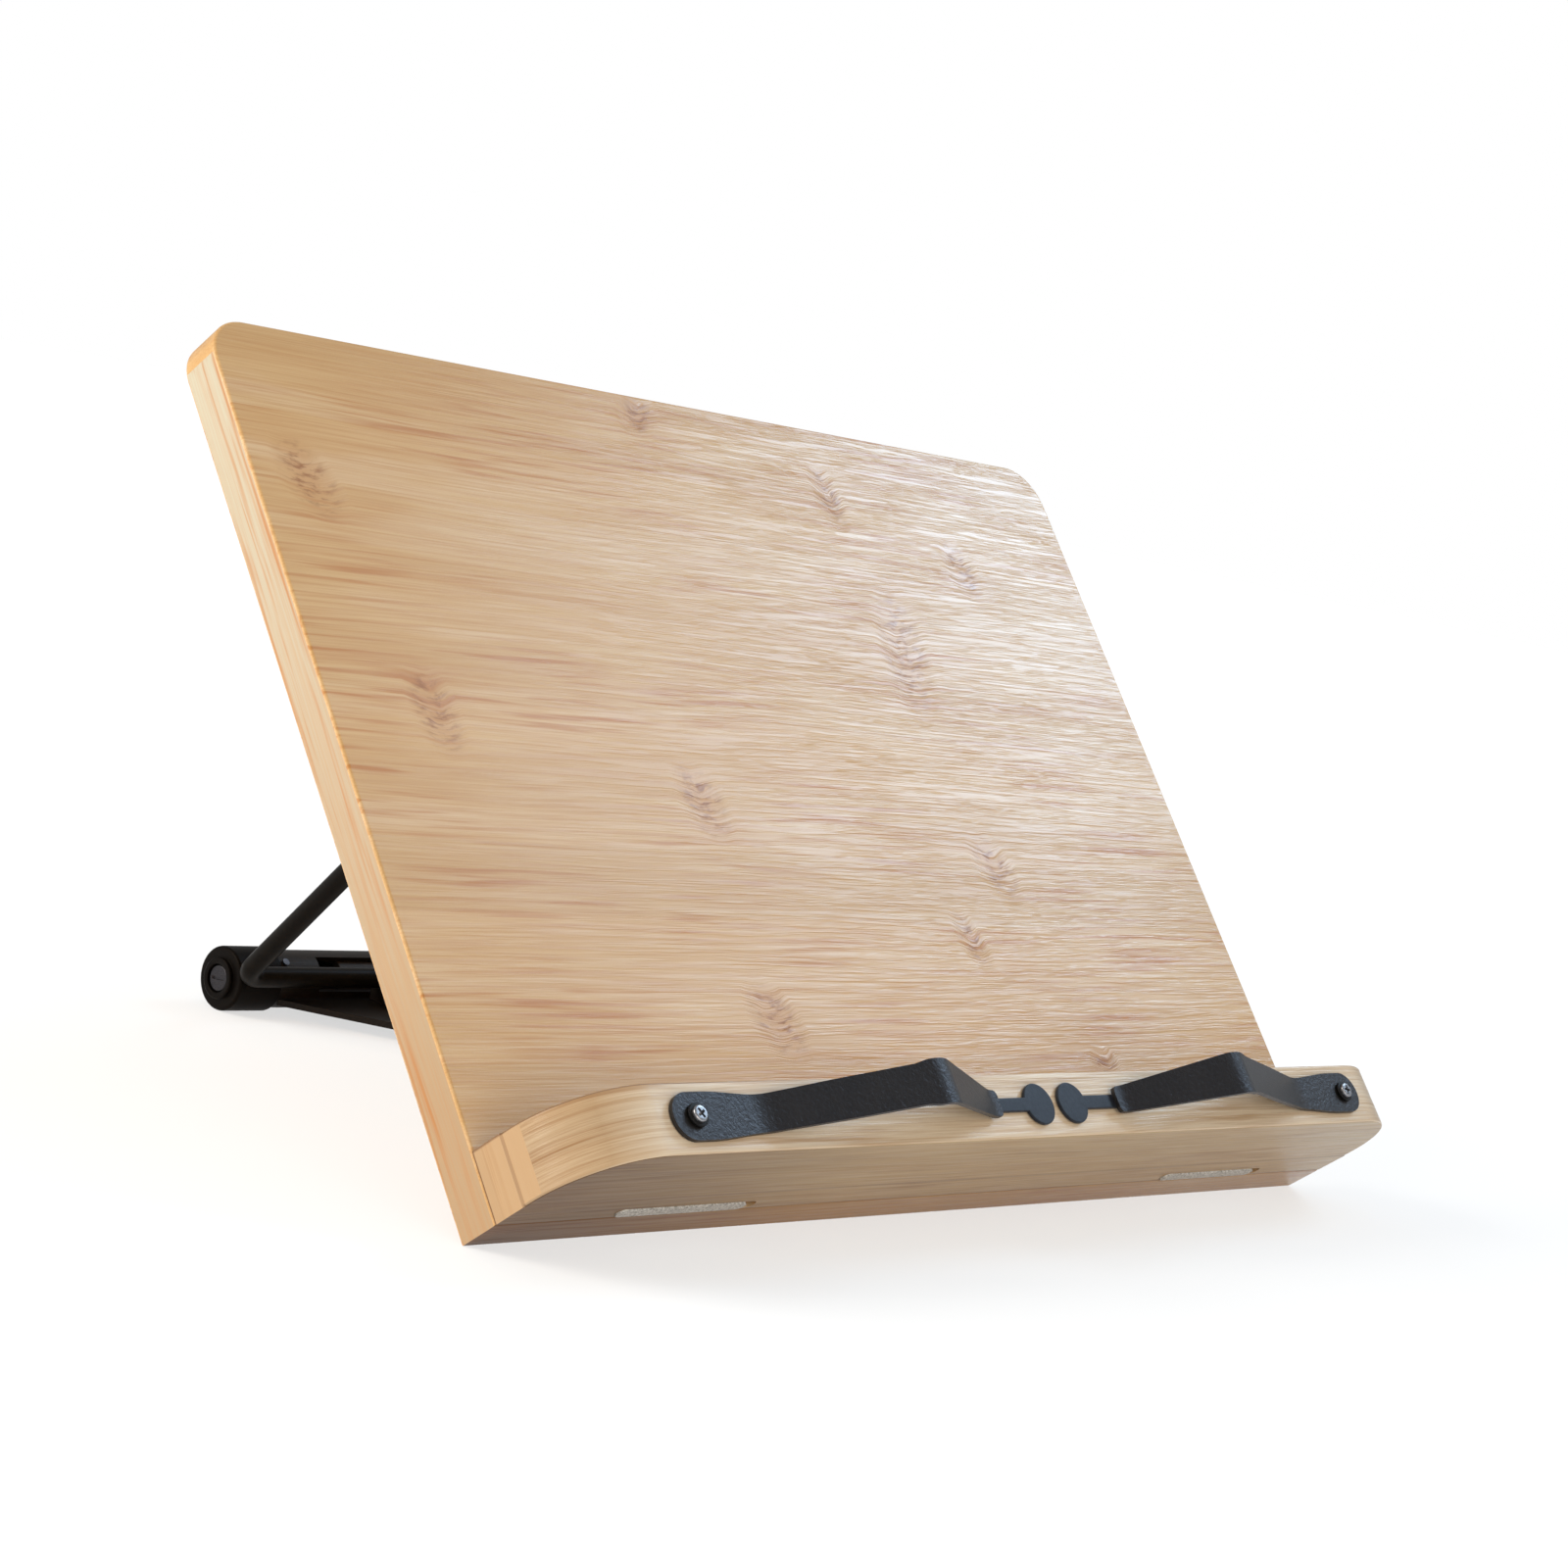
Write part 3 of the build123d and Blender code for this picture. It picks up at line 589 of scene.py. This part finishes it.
def thicken(bm, height):
    grown = bmesh.ops.extrude_face_region(bm, geom=bm.faces[:])
    bmesh.ops.translate(bm, verts=newVerts(grown), vec=(0, 0, height))
    bmesh.ops.recalc_face_normals(bm, faces=bm.faces)


def cutAt(bm, point, normal):
    bmesh.ops.bisect_plane(bm, geom=bm.verts[:] + bm.edges[:] + bm.faces[:], dist=1e-5,
                           plane_co=point, plane_no=normal)


# Board and nose of the ledge: flat blanks with round corners and eased edges
panel = {
    "width": 340.0, "height": 246.0, "thick": 12.5,
    "corner": 13.0, "cornerSteps": 20, "edge": 0.9, "edgeSteps": 4,
}
nose = {
    "width": 340.0, "height": 26.0, "thick": 18.0,
    "corner": 24.0, "cornerSteps": 28, "edge": 0.7, "edgeSteps": 4, "from": 22.5,
}


def makeBlank(look):
    # a rectangle with two round corners on its +y side, given its thickness along z
    bm = bmesh.new()
    half, height = look["width"] / 2, look["height"]
    verts = [bm.verts.new(co) for co in ((-half, 0, 0), (half, 0, 0), (half, height, 0), (-half, height, 0))]
    bm.faces.new(verts)
    roundCorners(bm, verts[2:], look["corner"], look["cornerSteps"])
    thicken(bm, look["thick"])
    return bm


def flatRims(bm):
    # the sharp edges that lie flat, round the blank's two large faces
    return [e for e in bm.edges if e.calc_face_angle(0) > radians(finishing["flatRimAngle"])
            and abs(e.verts[0].co.z - e.verts[1].co.z) < 0.01]


bm = makeBlank(panel)
roundRims(bm, flatRims(bm), panel["edge"], panel["edgeSteps"])
finishPiece("boardPanel", bm, boardPlace, "board", "back_board")

bm = makeBlank(nose)
# the glued side, at y = 0, keeps its sharp rims
openRims = [e for e in flatRims(bm) if max(v.co.y for v in e.verts) > 0.01]
roundRims(bm, openRims, nose["edge"], nose["edgeSteps"])
# the blank's y points out of the board and its z up it
turned = Matrix(((1, 0, 0, 0), (0, 0, 1, 0), (0, 1, 0, 0), (0, 0, 0, 1)))
nosePlace = boardPlace @ Matrix.Translation((0, 0, nose["from"])) @ turned
finishPiece("ledgeNose", bm, nosePlace, "board", "ledge_nose")
print("board and nose made")

# Page clips: a bent strap, narrow behind the screw, widest at its crest and tapered to its tip
clip = {
    "screwAcross": 136.0,
    "up": 8.8,
    "thick": 1.2,
    "gap": 0.3,
    "endReach": 7.4,
    "endHalf": 6.0,
    "endSteps": 14,
    "tipAt": 111.0,
    "tipCorner": 1.6,
    "tipSteps": 6,
    "holeRadius": 2.28,
    "holeSteps": 8,
    "edge": 0.35,
    # where the outline starts to be shaped, and the short lengths that it is cut into
    "shapedFrom": 4.0,
    "cutStep": 1.5,
    "cutCount": 71,
    "bendCuts": 5,
    # x from the screw, half width
    "widths": [(4.0, 6.0), (23.0, 4.8), (50.0, 5.2), (65.0, 5.3), (69.5, 5.9), (76.0, 5.9), (111.0, 3.5)],
    # x of each bend, change of slope, half length of the bend
    "bends": [(23.0, 0.3406, 3.4), (73.0, -0.7986, 3.4), (108.0, 0.458, 1.8)],
    "tongueFrom": 106.0,
    "tongueHalf": 1.9,
    "tongueThick": 1.0,
    "tongueEdge": 0.25,
    "discAt": 128.9,
    "discRadius": 5.7,
}


def strapHalfWidth(x):
    stations = clip["widths"]
    if x <= stations[0][0]:
        return stations[0][1]
    for (x0, w0), (x1, w1) in zip(stations, stations[1:]):
        if x <= x1:
            share = (x - x0) / (x1 - x0)
            if x1 < clip["tipAt"]:
                share = share * share * (3 - 2 * share)
            return w0 + (w1 - w0) * share
    return stations[-1][1]


def strapRise(x):
    rise, slope = 0.0, 0.0
    for at, turn, reach in clip["bends"]:
        past = x - at
        if past >= reach:
            rise += turn * past
            slope += turn
        elif past > -reach:
            rise += turn * (past + reach) ** 2 / (4 * reach)
            slope += turn * (past + reach) / (2 * reach)
    return rise, slope


def clipPlace(side, lift):
    # x of a clip runs from its screw to its tip, towards the middle of the ledge
    place = boardPlace @ Matrix.Translation((side * clip["screwAcross"], clip["up"], board["ledgeOut"] + lift))
    return place @ Matrix.Diagonal((-side, 1, 1, 1))


def makeStrap(sideName, side):
    # half of the outline is drawn flat with its round end and hole, and then shaped, mirrored and bent
    bm = bmesh.new()
    reach, half, tip, hole = clip["endReach"], clip["endHalf"], clip["tipAt"], clip["holeRadius"]
    corners = [(-reach, 0), (-reach, half), (tip, half), (tip, 0), (hole, 0), (hole, hole), (-hole, hole), (-hole, 0)]
    verts = [bm.verts.new((x, y, 0)) for x, y in corners]
    bm.faces.new(verts)
    roundCorners(bm, [verts[1]], half - 0.02, clip["endSteps"])
    holeCorners = [v for v in bm.verts if abs(abs(v.co.x) - hole) < 1e-4 and abs(v.co.y - hole) < 1e-4]
    roundCorners(bm, holeCorners, hole - 0.01, clip["holeSteps"])
    cuts = [clip["shapedFrom"] + clip["cutStep"] * i for i in range(clip["cutCount"])]
    for at, _, bendReach in clip["bends"]:
        cuts += [at + bendReach * k / clip["bendCuts"] for k in range(-clip["bendCuts"], clip["bendCuts"] + 1)]
    for x in sorted(cuts):
        if x < tip - 0.2:
            cutAt(bm, (x, 0, 0), (1, 0, 0))
    for v in bm.verts:
        if v.co.x > clip["shapedFrom"] - 0.1:
            v.co.y *= strapHalfWidth(v.co.x) / half
    tipCorners = [v for v in bm.verts if v.co.x > tip - 0.01 and v.co.y > 0.1]
    roundCorners(bm, tipCorners, clip["tipCorner"], clip["tipSteps"])
    bmesh.ops.mirror(bm, geom=bm.verts[:] + bm.edges[:] + bm.faces[:], axis="Y", merge_dist=1e-3)
    thicken(bm, clip["thick"])
    softenEdges(bm, clip["edge"], segments=3, angle=50)
    for v in bm.verts:
        rise, slope = strapRise(v.co.x)
        lift = v.co.z - clip["thick"] / 2
        lean = sqrt(1 + slope * slope)
        v.co.x -= slope / lean * lift
        v.co.z = clip["gap"] + clip["thick"] / 2 + rise + lift / lean
    finishPiece("clipStrap" + sideName.title(), bm, clipPlace(side, 0), "clip_" + sideName,
                "clip_strap_" + sideName)


def makeTongue(sideName, side):
    bm = bmesh.new()
    bmesh.ops.create_circle(bm, segments=64, radius=clip["discRadius"], cap_ends=True,
                            matrix=Matrix.Translation((clip["discAt"], 0, 0)))
    # the arm leaves the disc between the points where its two edges meet the circle
    for y in (-clip["tongueHalf"], clip["tongueHalf"]):
        cutAt(bm, (0, y, 0), (0, 1, 0))
    joint = [e for e in bm.edges if e.is_boundary and all(
        v.co.x < clip["discAt"] and abs(v.co.y) < clip["tongueHalf"] + 1e-3 for v in e.verts)]
    for v in newVerts(bmesh.ops.extrude_edge_only(bm, edges=joint)):
        v.co.x = clip["tongueFrom"]
    thicken(bm, clip["tongueThick"])
    softenEdges(bm, clip["tongueEdge"], segments=3, angle=50)
    finishPiece("clipTongue" + sideName.title(), bm, clipPlace(side, clip["gap"]), "clip_" + sideName,
                "clip_tongue_" + sideName)


for sideName, side in (("left", -1), ("right", 1)):
    makeStrap(sideName, side)
    makeTongue(sideName, side)
print("page clips made")


# Turned pieces: an outline of (radius, height) points, rounded at its corners and spun about z
def spinOutline(bm, points, rounded, steps):
    verts = [bm.verts.new((r, 0, z)) for r, z in points]
    for pair in zip(verts, verts[1:]):
        bm.edges.new(pair)
    for index, radius in sorted(rounded.items()):
        roundCorners(bm, [verts[index]], radius, 4)
    bmesh.ops.spin(bm, geom=bm.verts[:] + bm.edges[:], cent=(0, 0, 0), axis=(0, 0, 1), angle=2 * pi,
                   steps=steps, use_merge=True)
    bmesh.ops.remove_doubles(bm, verts=bm.verts, dist=1e-4)


# Screws: a head with a sunk cross or slot over a plain shank. Heights are above the head's seat.
def addScrew(bm, look, place):
    made = bmesh.new()
    head, tall, taper = look["head"], look["tall"], look["recessTaper"]
    bmesh.ops.create_circle(made, segments=48, radius=head, matrix=Matrix.Translation((0, 0, tall)))
    rim = made.edges[:]
    long, wide = look["recessLong"] / 2, look["recessWide"] / 2
    if look["cross"]:
        corners = [(wide, wide), (wide, long), (-wide, long), (-wide, wide), (-long, wide), (-long, -wide),
                   (-wide, -wide), (-wide, -long), (wide, -long), (wide, -wide), (long, -wide), (long, wide)]
    else:
        corners = [(long, wide), (-long, wide), (-long, -wide), (long, -wide)]
    inner = [made.verts.new((x, y, tall)) for x, y in corners]
    lip = [made.edges.new(pair) for pair in zip(inner, inner[1:] + inner[:1])]
    bmesh.ops.triangle_fill(made, use_beauty=True, edges=rim + lip)
    low = newVerts(bmesh.ops.extrude_edge_only(made, edges=lip))
    for v in low:
        v.co = Vector((v.co.x * taper, v.co.y * taper, tall - look["recessDeep"]))

    def cornerOf(v):
        # which of the recess corners a sunk point came from
        return min(range(len(corners)), key=lambda i: (Vector(corners[i]) * taper - v.co.xy).length)

    made.faces.new(sorted(low, key=cornerOf))
    for radius, height in ((head, 0), (look["shank"], 0), (look["shank"], -look["deep"])):
        rim = [e for e in made.edges if e.is_boundary]
        for v in newVerts(bmesh.ops.extrude_edge_only(made, edges=rim)):
            flat = v.co.xy.normalized() * radius
            v.co = Vector((flat.x, flat.y, height))
    bmesh.ops.contextual_create(made, geom=[e for e in made.edges if e.is_boundary])
    headRim = [e for e in made.edges if all(
        abs(v.co.z - tall) < 1e-4 and abs(v.co.xy.length - head) < 1e-3 for v in e.verts)]
    bmesh.ops.bevel(made, geom=headRim, offset=look["round"], segments=4, profile=0.5, affect="EDGES", material=-1)
    bmesh.ops.transform(made, matrix=place, verts=made.verts)
    mesh = bpy.data.meshes.new("screw")
    made.to_mesh(mesh)
    made.free()
    bm.from_mesh(mesh)
    bpy.data.meshes.remove(mesh)


bush = {"neck": 2.2, "shoulder": 3.0, "shoulderAt": 1.8, "tall": 2.4, "bore": 1.55}
clipScrew = {
    "head": 2.1, "tall": 0.9, "shank": 1.5, "deep": 14.4, "round": 0.4, "cross": True,
    "recessLong": 2.7, "recessWide": 0.7, "recessDeep": 1.2, "recessTaper": 0.85,
    "turns": {"left": 28, "right": -12},
}
for sideName, side in (("left", -1), ("right", 1)):
    place = boardPlace @ Matrix.Translation((side * clip["screwAcross"], clip["up"], board["ledgeOut"]))
    bm = bmesh.new()
    spinOutline(bm, [
        (bush["bore"], 0),
        (bush["neck"], 0),
        (bush["neck"], bush["shoulderAt"]),
        (bush["shoulder"], bush["shoulderAt"]),
        (bush["shoulder"], bush["tall"]),
        (bush["bore"], bush["tall"]),
        (bush["bore"], 0),
    ], {3: 0.12, 4: 0.2}, steps=64)
    finishPiece("clipBush" + sideName.title(), bm, place, "board", "clip_bush_" + sideName)
    bm = bmesh.new()
    turn = Matrix.Rotation(radians(clipScrew["turns"][sideName]), 4, "Z")
    addScrew(bm, clipScrew, Matrix.Translation((0, 0, bush["tall"])) @ turn)
    finishPiece("clipScrew" + sideName.title(), bm, place, "board", "clip_screw_" + sideName)

# Wood screws, driven into the board's rear face through the hinge leaf and the strut's brackets
woodScrew = {
    "head": 2.9, "tall": 1.2, "shank": 1.6, "deep": 9.0, "round": 0.6, "cross": True,
    "recessLong": 3.2, "recessWide": 0.7, "recessDeep": 0.8, "recessTaper": 0.7,
    "firstTurn": 23, "nextTurn": 37,
}
woodScrewSets = {
    # piece: its node, the plate's thickness under the heads, places across and up the board
    "hingeScrews": ("hinge_screws", 1.2, [(x, up) for x in (-22.0, 22.0) for up in (26.0, 34.5)]),
    "bracketScrews": ("bracket_screws", 1.5, [(x, up) for x in (-66.0, 66.0) for up in (143.8, 162.2)]),
}
for name, (nodeName, seat, places) in woodScrewSets.items():
    bm = bmesh.new()
    for i, (x, up) in enumerate(places):
        angle = radians(woodScrew["firstTurn"] + woodScrew["nextTurn"] * i)
        turn = Matrix.Rotation(pi, 4, "X") @ Matrix.Rotation(angle, 4, "Z")
        addScrew(bm, {**woodScrew, "deep": woodScrew["deep"] + seat}, Matrix.Translation((x, up, -seat)) @ turn)
    finishPiece(name, bm, boardPlace, "board", nodeName)
print("screws and bushes made")

# Foot caps and their screws, on the ends of the rear tube
foot = {
    "axisY": 122.507,
    "axisZ": 9.3,
    "span": 160.0,
    "radius": 9.3,
    "length": 15.6,
    "plugRadius": 6.7,
    "plugLength": 9.0,
    "rimRadius": 6.0,
    "rimBore": 4.1,
    "rimTall": 1.3,
    "screwBore": 2.05,
}
footScrew = {
    "head": 3.8, "tall": 0.8, "shank": 2.0, "deep": 14.0, "round": 0.35, "cross": False,
    "recessLong": 5.4, "recessWide": 0.9, "recessDeep": 0.5, "recessTaper": 0.9,
    "turn": 96,
}
capEnd, plugEnd = -foot["length"], -foot["length"] - foot["plugLength"]
for sideName, side in (("left", -1), ("right", 1)):
    # z of the cap's own outline points out of the stand's side
    place = floorPlace @ Matrix.Translation((side * foot["span"] / 2, foot["axisY"], foot["axisZ"]))
    place = place @ Matrix.Rotation(side * pi / 2, 4, "Y")
    bm = bmesh.new()
    spinOutline(bm, [
        (foot["screwBore"], plugEnd),
        (foot["plugRadius"], plugEnd),
        (foot["plugRadius"], capEnd),
        (foot["radius"], capEnd),
        (foot["radius"], 0),
        (foot["rimRadius"], 0),
        (foot["rimRadius"], foot["rimTall"]),
        (foot["rimBore"], foot["rimTall"]),
        (foot["rimBore"], 0),
        (foot["screwBore"], 0),
        (foot["screwBore"], plugEnd),
    ], {1: 0.5, 3: 0.4, 4: 0.9, 5: 0.25, 6: 0.45, 7: 0.3}, steps=80)
    finishPiece("footCap" + sideName.title(), bm, place, "leg", "foot_cap_" + sideName)
    bm = bmesh.new()
    addScrew(bm, footScrew, Matrix.Rotation(radians(footScrew["turn"]), 4, "Z"))
    finishPiece("footScrew" + sideName.title(), bm, place, "leg", "foot_screw_" + sideName)
print("feet made")

# Strut: one rod bent into a U, its ends turned in to the saddle brackets
strut = {
    "radius": 3.0,
    "bend": 5.5,
    "half": 82.0,
    "ends": 24.0,
    "pivot": (0.0, 20.659, 112.039),
    "bar": (0.0, 110.403, 12.8),
    "edge": 0.5,
    "sides": 32,
    "bendSteps": 10,
}


def makeStrut():
    # drawn flat, x across and y down the strut, and then laid along its slope
    bm = bmesh.new()
    pivot = Vector(strut["pivot"])
    fall = Vector(strut["bar"]) - pivot
    length = fall.length
    bend, half, ends = strut["bend"], strut["half"], strut["ends"]
    bmesh.ops.create_circle(bm, segments=strut["sides"], radius=strut["radius"], matrix=(
        Matrix.Translation((ends - half, 0, 0)) @ Matrix.Rotation(-pi / 2, 4, "Y")))
    firstLoop = loop = bm.edges[:]
    end, arm, bar = bend - ends, length - 2 * bend, 2 * half - 2 * bend
    runs = [(end, 0), (0, arm), (bar, 0), (0, -arm), (end, 0)]
    centres = [(bend - half, bend), (bend - half, length - bend), (half - bend, length - bend), (half - bend, bend)]
    for i, (x, y) in enumerate(runs):
        grown = bmesh.ops.extrude_edge_only(bm, edges=loop)
        verts = newVerts(grown)
        bmesh.ops.translate(bm, verts=verts, vec=(x, y, 0))
        loop = [g for g in grown["geom"] if isinstance(g, bmesh.types.BMEdge) and all(v in verts for v in g.verts)]
        if i < len(centres):
            turned = bmesh.ops.spin(bm, geom=loop, cent=(*centres[i], 0), axis=(0, 0, 1), angle=-pi / 2,
                                    steps=strut["bendSteps"])
            loop = [g for g in turned["geom_last"] if isinstance(g, bmesh.types.BMEdge)]
    for rim in (firstLoop, loop):
        bmesh.ops.contextual_create(bm, geom=rim)
    bmesh.ops.recalc_face_normals(bm, faces=bm.faces)
    softenEdges(bm, strut["edge"], segments=3, angle=60)
    across, down = Vector((1, 0, 0)), fall.normalized()
    axes = Matrix((across, down, across.cross(down))).transposed().to_4x4()
    finishPiece("strutRod", bm, floorPlace @ Matrix.Translation(pivot) @ axes, "strut", "strut_rod")


makeStrut()
print("strut made")


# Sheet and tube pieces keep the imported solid's shape, with their sharp rims eased
def easeCopy(nodeName, pieceName, width):
    node = frame["nodes"][nodeName]
    bm = bmesh.new()
    bm.from_mesh(node.data)
    bmesh.ops.scale(bm, vec=(1 / mm,) * 3, verts=bm.verts)
    bmesh.ops.remove_doubles(bm, verts=bm.verts, dist=0.001)
    bmesh.ops.dissolve_limit(bm, angle_limit=radians(0.5), verts=bm.verts, edges=bm.edges)
    softenEdges(bm, width, segments=2, angle=35)
    finishPiece(pieceName, bm, floorPlace, node["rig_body"], nodeName)


easedPieces = {
    # node: piece, slot, width of its eased rims
    "leg_plate": ("legPlate", "leg_coat", 0.3),
    "rack_left": ("rackLeft", "leg_coat", 0.25),
    "rack_right": ("rackRight", "leg_coat", 0.25),
    "rear_tube": ("rearTube", "tube_coat", 0.25),
    "tube_core": ("tubeCore", "core_coat", 0.3),
    "hinge_leaf": ("hingeLeaf", "bracket_coat", 0.3),
    "strut_bracket_left": ("strutBracketLeft", "bracket_coat", 0.35),
    "strut_bracket_right": ("strutBracketRight", "bracket_coat", 0.35),
}
for nodeName, (pieceName, slotName, width) in easedPieces.items():
    easeCopy(nodeName, pieceName, width)
print("leg, tube and brackets made")

# Studio: pale floor and backdrop that the camera sees as white, and soft lights
studio = {
    "floorHalf": 6.0,
    "floorColour": "#F4F4F4",
    # glow of the paper up to nearAt metres from the stand, and from farAt on
    "nearGlow": 0.30,
    "nearAt": 0.3,
    "farGlow": 0.75,
    "farAt": 2.0,
    "floorClear": 0.5,
    "worldStrength": 0.42,
}
lamps = {
    # place, aim, size in metres, power in watts, colour
    "keySoftbox": ((-1.50, 0.70, 0.85), (0, 0, 0.1), (1.0, 1.0), 24.0, "#FFF8EC"),
    "fillSoftbox": ((-0.80, -1.60, 0.50), (0, 0, 0.1), (1.4, 1.0), 9.0, "#FFF3E0"),
    "sheenSoftbox": ((1.28, -0.18, 1.12), (0.03, -0.02, 0.14), (0.7, 0.5), 9.0, "#C4E2FC"),
}


def makeFloor():
    bm = bmesh.new()
    bmesh.ops.create_grid(bm, x_segments=2, y_segments=2, size=studio["floorHalf"])
    mesh = bpy.data.meshes.new("studioFloor")
    bm.to_mesh(mesh)
    bm.free()
    floor = bpy.data.objects.new("studioFloor", mesh)
    bpy.context.scene.collection.objects.link(floor)
    material, tree, shader = newMaterial("studio paper, matt white", {
        "Base Color": studio["floorColour"], "Roughness": 0.9, "Specular IOR Level": 0.2,
    })
    rays = addNode(tree, "ShaderNodeLightPath")
    seen = addNode(tree, "ShaderNodeMath", {"operation": "MAXIMUM"}, {
        0: rays.outputs["Is Camera Ray"], 1: rays.outputs["Is Glossy Ray"],
    })
    seenThrough = addNode(tree, "ShaderNodeMath", {"operation": "MAXIMUM"}, {
        0: seen.outputs[0], 1: rays.outputs["Is Transmission Ray"],
    })
    # the paper brightens away from the stand, where the lamps don't reach
    coords = addNode(tree, "ShaderNodeTexCoord")
    away = addNode(tree, "ShaderNodeVectorMath", {"operation": "LENGTH"}, {0: coords.outputs["Object"]})
    awayGlow = addNode(tree, "ShaderNodeMapRange", {
        1: studio["nearAt"], 2: studio["farAt"], 3: studio["nearGlow"], 4: studio["farGlow"],
    }, {0: away.outputs["Value"]})
    glow = addNode(tree, "ShaderNodeMath", {"operation": "MULTIPLY"}, {
        0: seenThrough.outputs[0], 1: awayGlow.outputs[0],
    })
    tree.links.new(glow.outputs[0], shader.inputs["Emission Strength"])
    # the camera sees half through the paper, so that the leg still shows when it folds down past it
    clear = addNode(tree, "ShaderNodeBsdfTransparent")
    clearShare = addNode(tree, "ShaderNodeMath", {"operation": "MULTIPLY", 1: studio["floorClear"]}, {
        0: rays.outputs["Is Camera Ray"],
    })
    paper = addNode(tree, "ShaderNodeMixShader", links={
        0: clearShare.outputs[0], 1: shader.outputs[0], 2: clear.outputs[0],
    })
    tree.links.new(paper.outputs[0], tree.nodes["Material Output"].inputs["Surface"])
    mesh.materials.append(material)


def makeWorld():
    world = bpy.data.worlds.new("studio light")
    bpy.context.scene.world = world
    world.use_nodes = True
    tree = world.node_tree
    background = tree.nodes["Background"]
    rays = addNode(tree, "ShaderNodeLightPath")
    seen = addNode(tree, "ShaderNodeMath", {"operation": "MAXIMUM"}, {
        0: rays.outputs["Is Camera Ray"], 1: rays.outputs["Is Transmission Ray"],
    })
    strength = addNode(tree, "ShaderNodeMapRange", {3: studio["worldStrength"], 4: 1.0}, {0: seen.outputs[0]})
    tree.links.new(strength.outputs[0], background.inputs["Strength"])
    background.inputs["Color"].default_value = (1, 1, 1, 1)


def makeLamp(name, location, target, size, power, colour):
    light = bpy.data.lights.new(name, "AREA")
    light.shape = "RECTANGLE"
    light.size, light.size_y = size
    light.energy = power
    light.color = toLinear(colour)[:3]
    lamp = bpy.data.objects.new(name, light)
    lamp.location = location
    lamp.rotation_mode = "QUATERNION"
    lamp.rotation_quaternion = (Vector(target) - Vector(location)).to_track_quat("-Z", "Y")
    bpy.context.scene.collection.objects.link(lamp)


makeFloor()
makeWorld()
for name, lampLook in lamps.items():
    makeLamp(name, *lampLook)

# Camera at the photograph's angle: low, to the left of the stand, a little rolled
view = {
    "location": (-0.7063, -0.6201, 0.1999),
    "right": (0.6612, -0.7250, 0.1928),
    "down": (0.0477, -0.2158, -0.9752),
    "forward": (0.7487, 0.6540, -0.1082),
    "lens": 78.4,
    "sensor": 36.0,
    "clip": (0.02, 50),
}


def makeCamera():
    data = bpy.data.cameras.new("photoCamera")
    data.lens = view["lens"]
    data.sensor_width = view["sensor"]
    camera = bpy.data.objects.new("photoCamera", data)
    axes = Matrix((Vector(view["right"]), -Vector(view["down"]), -Vector(view["forward"]))).transposed()
    camera.rotation_mode = "QUATERNION"
    camera.rotation_quaternion = axes.to_quaternion()
    camera.location = view["location"]
    data.clip_start, data.clip_end = view["clip"]
    bpy.context.scene.collection.objects.link(camera)
    bpy.context.scene.camera = camera


makeCamera()
bpy.context.scene.view_settings.view_transform = "Standard"
print("studio made")
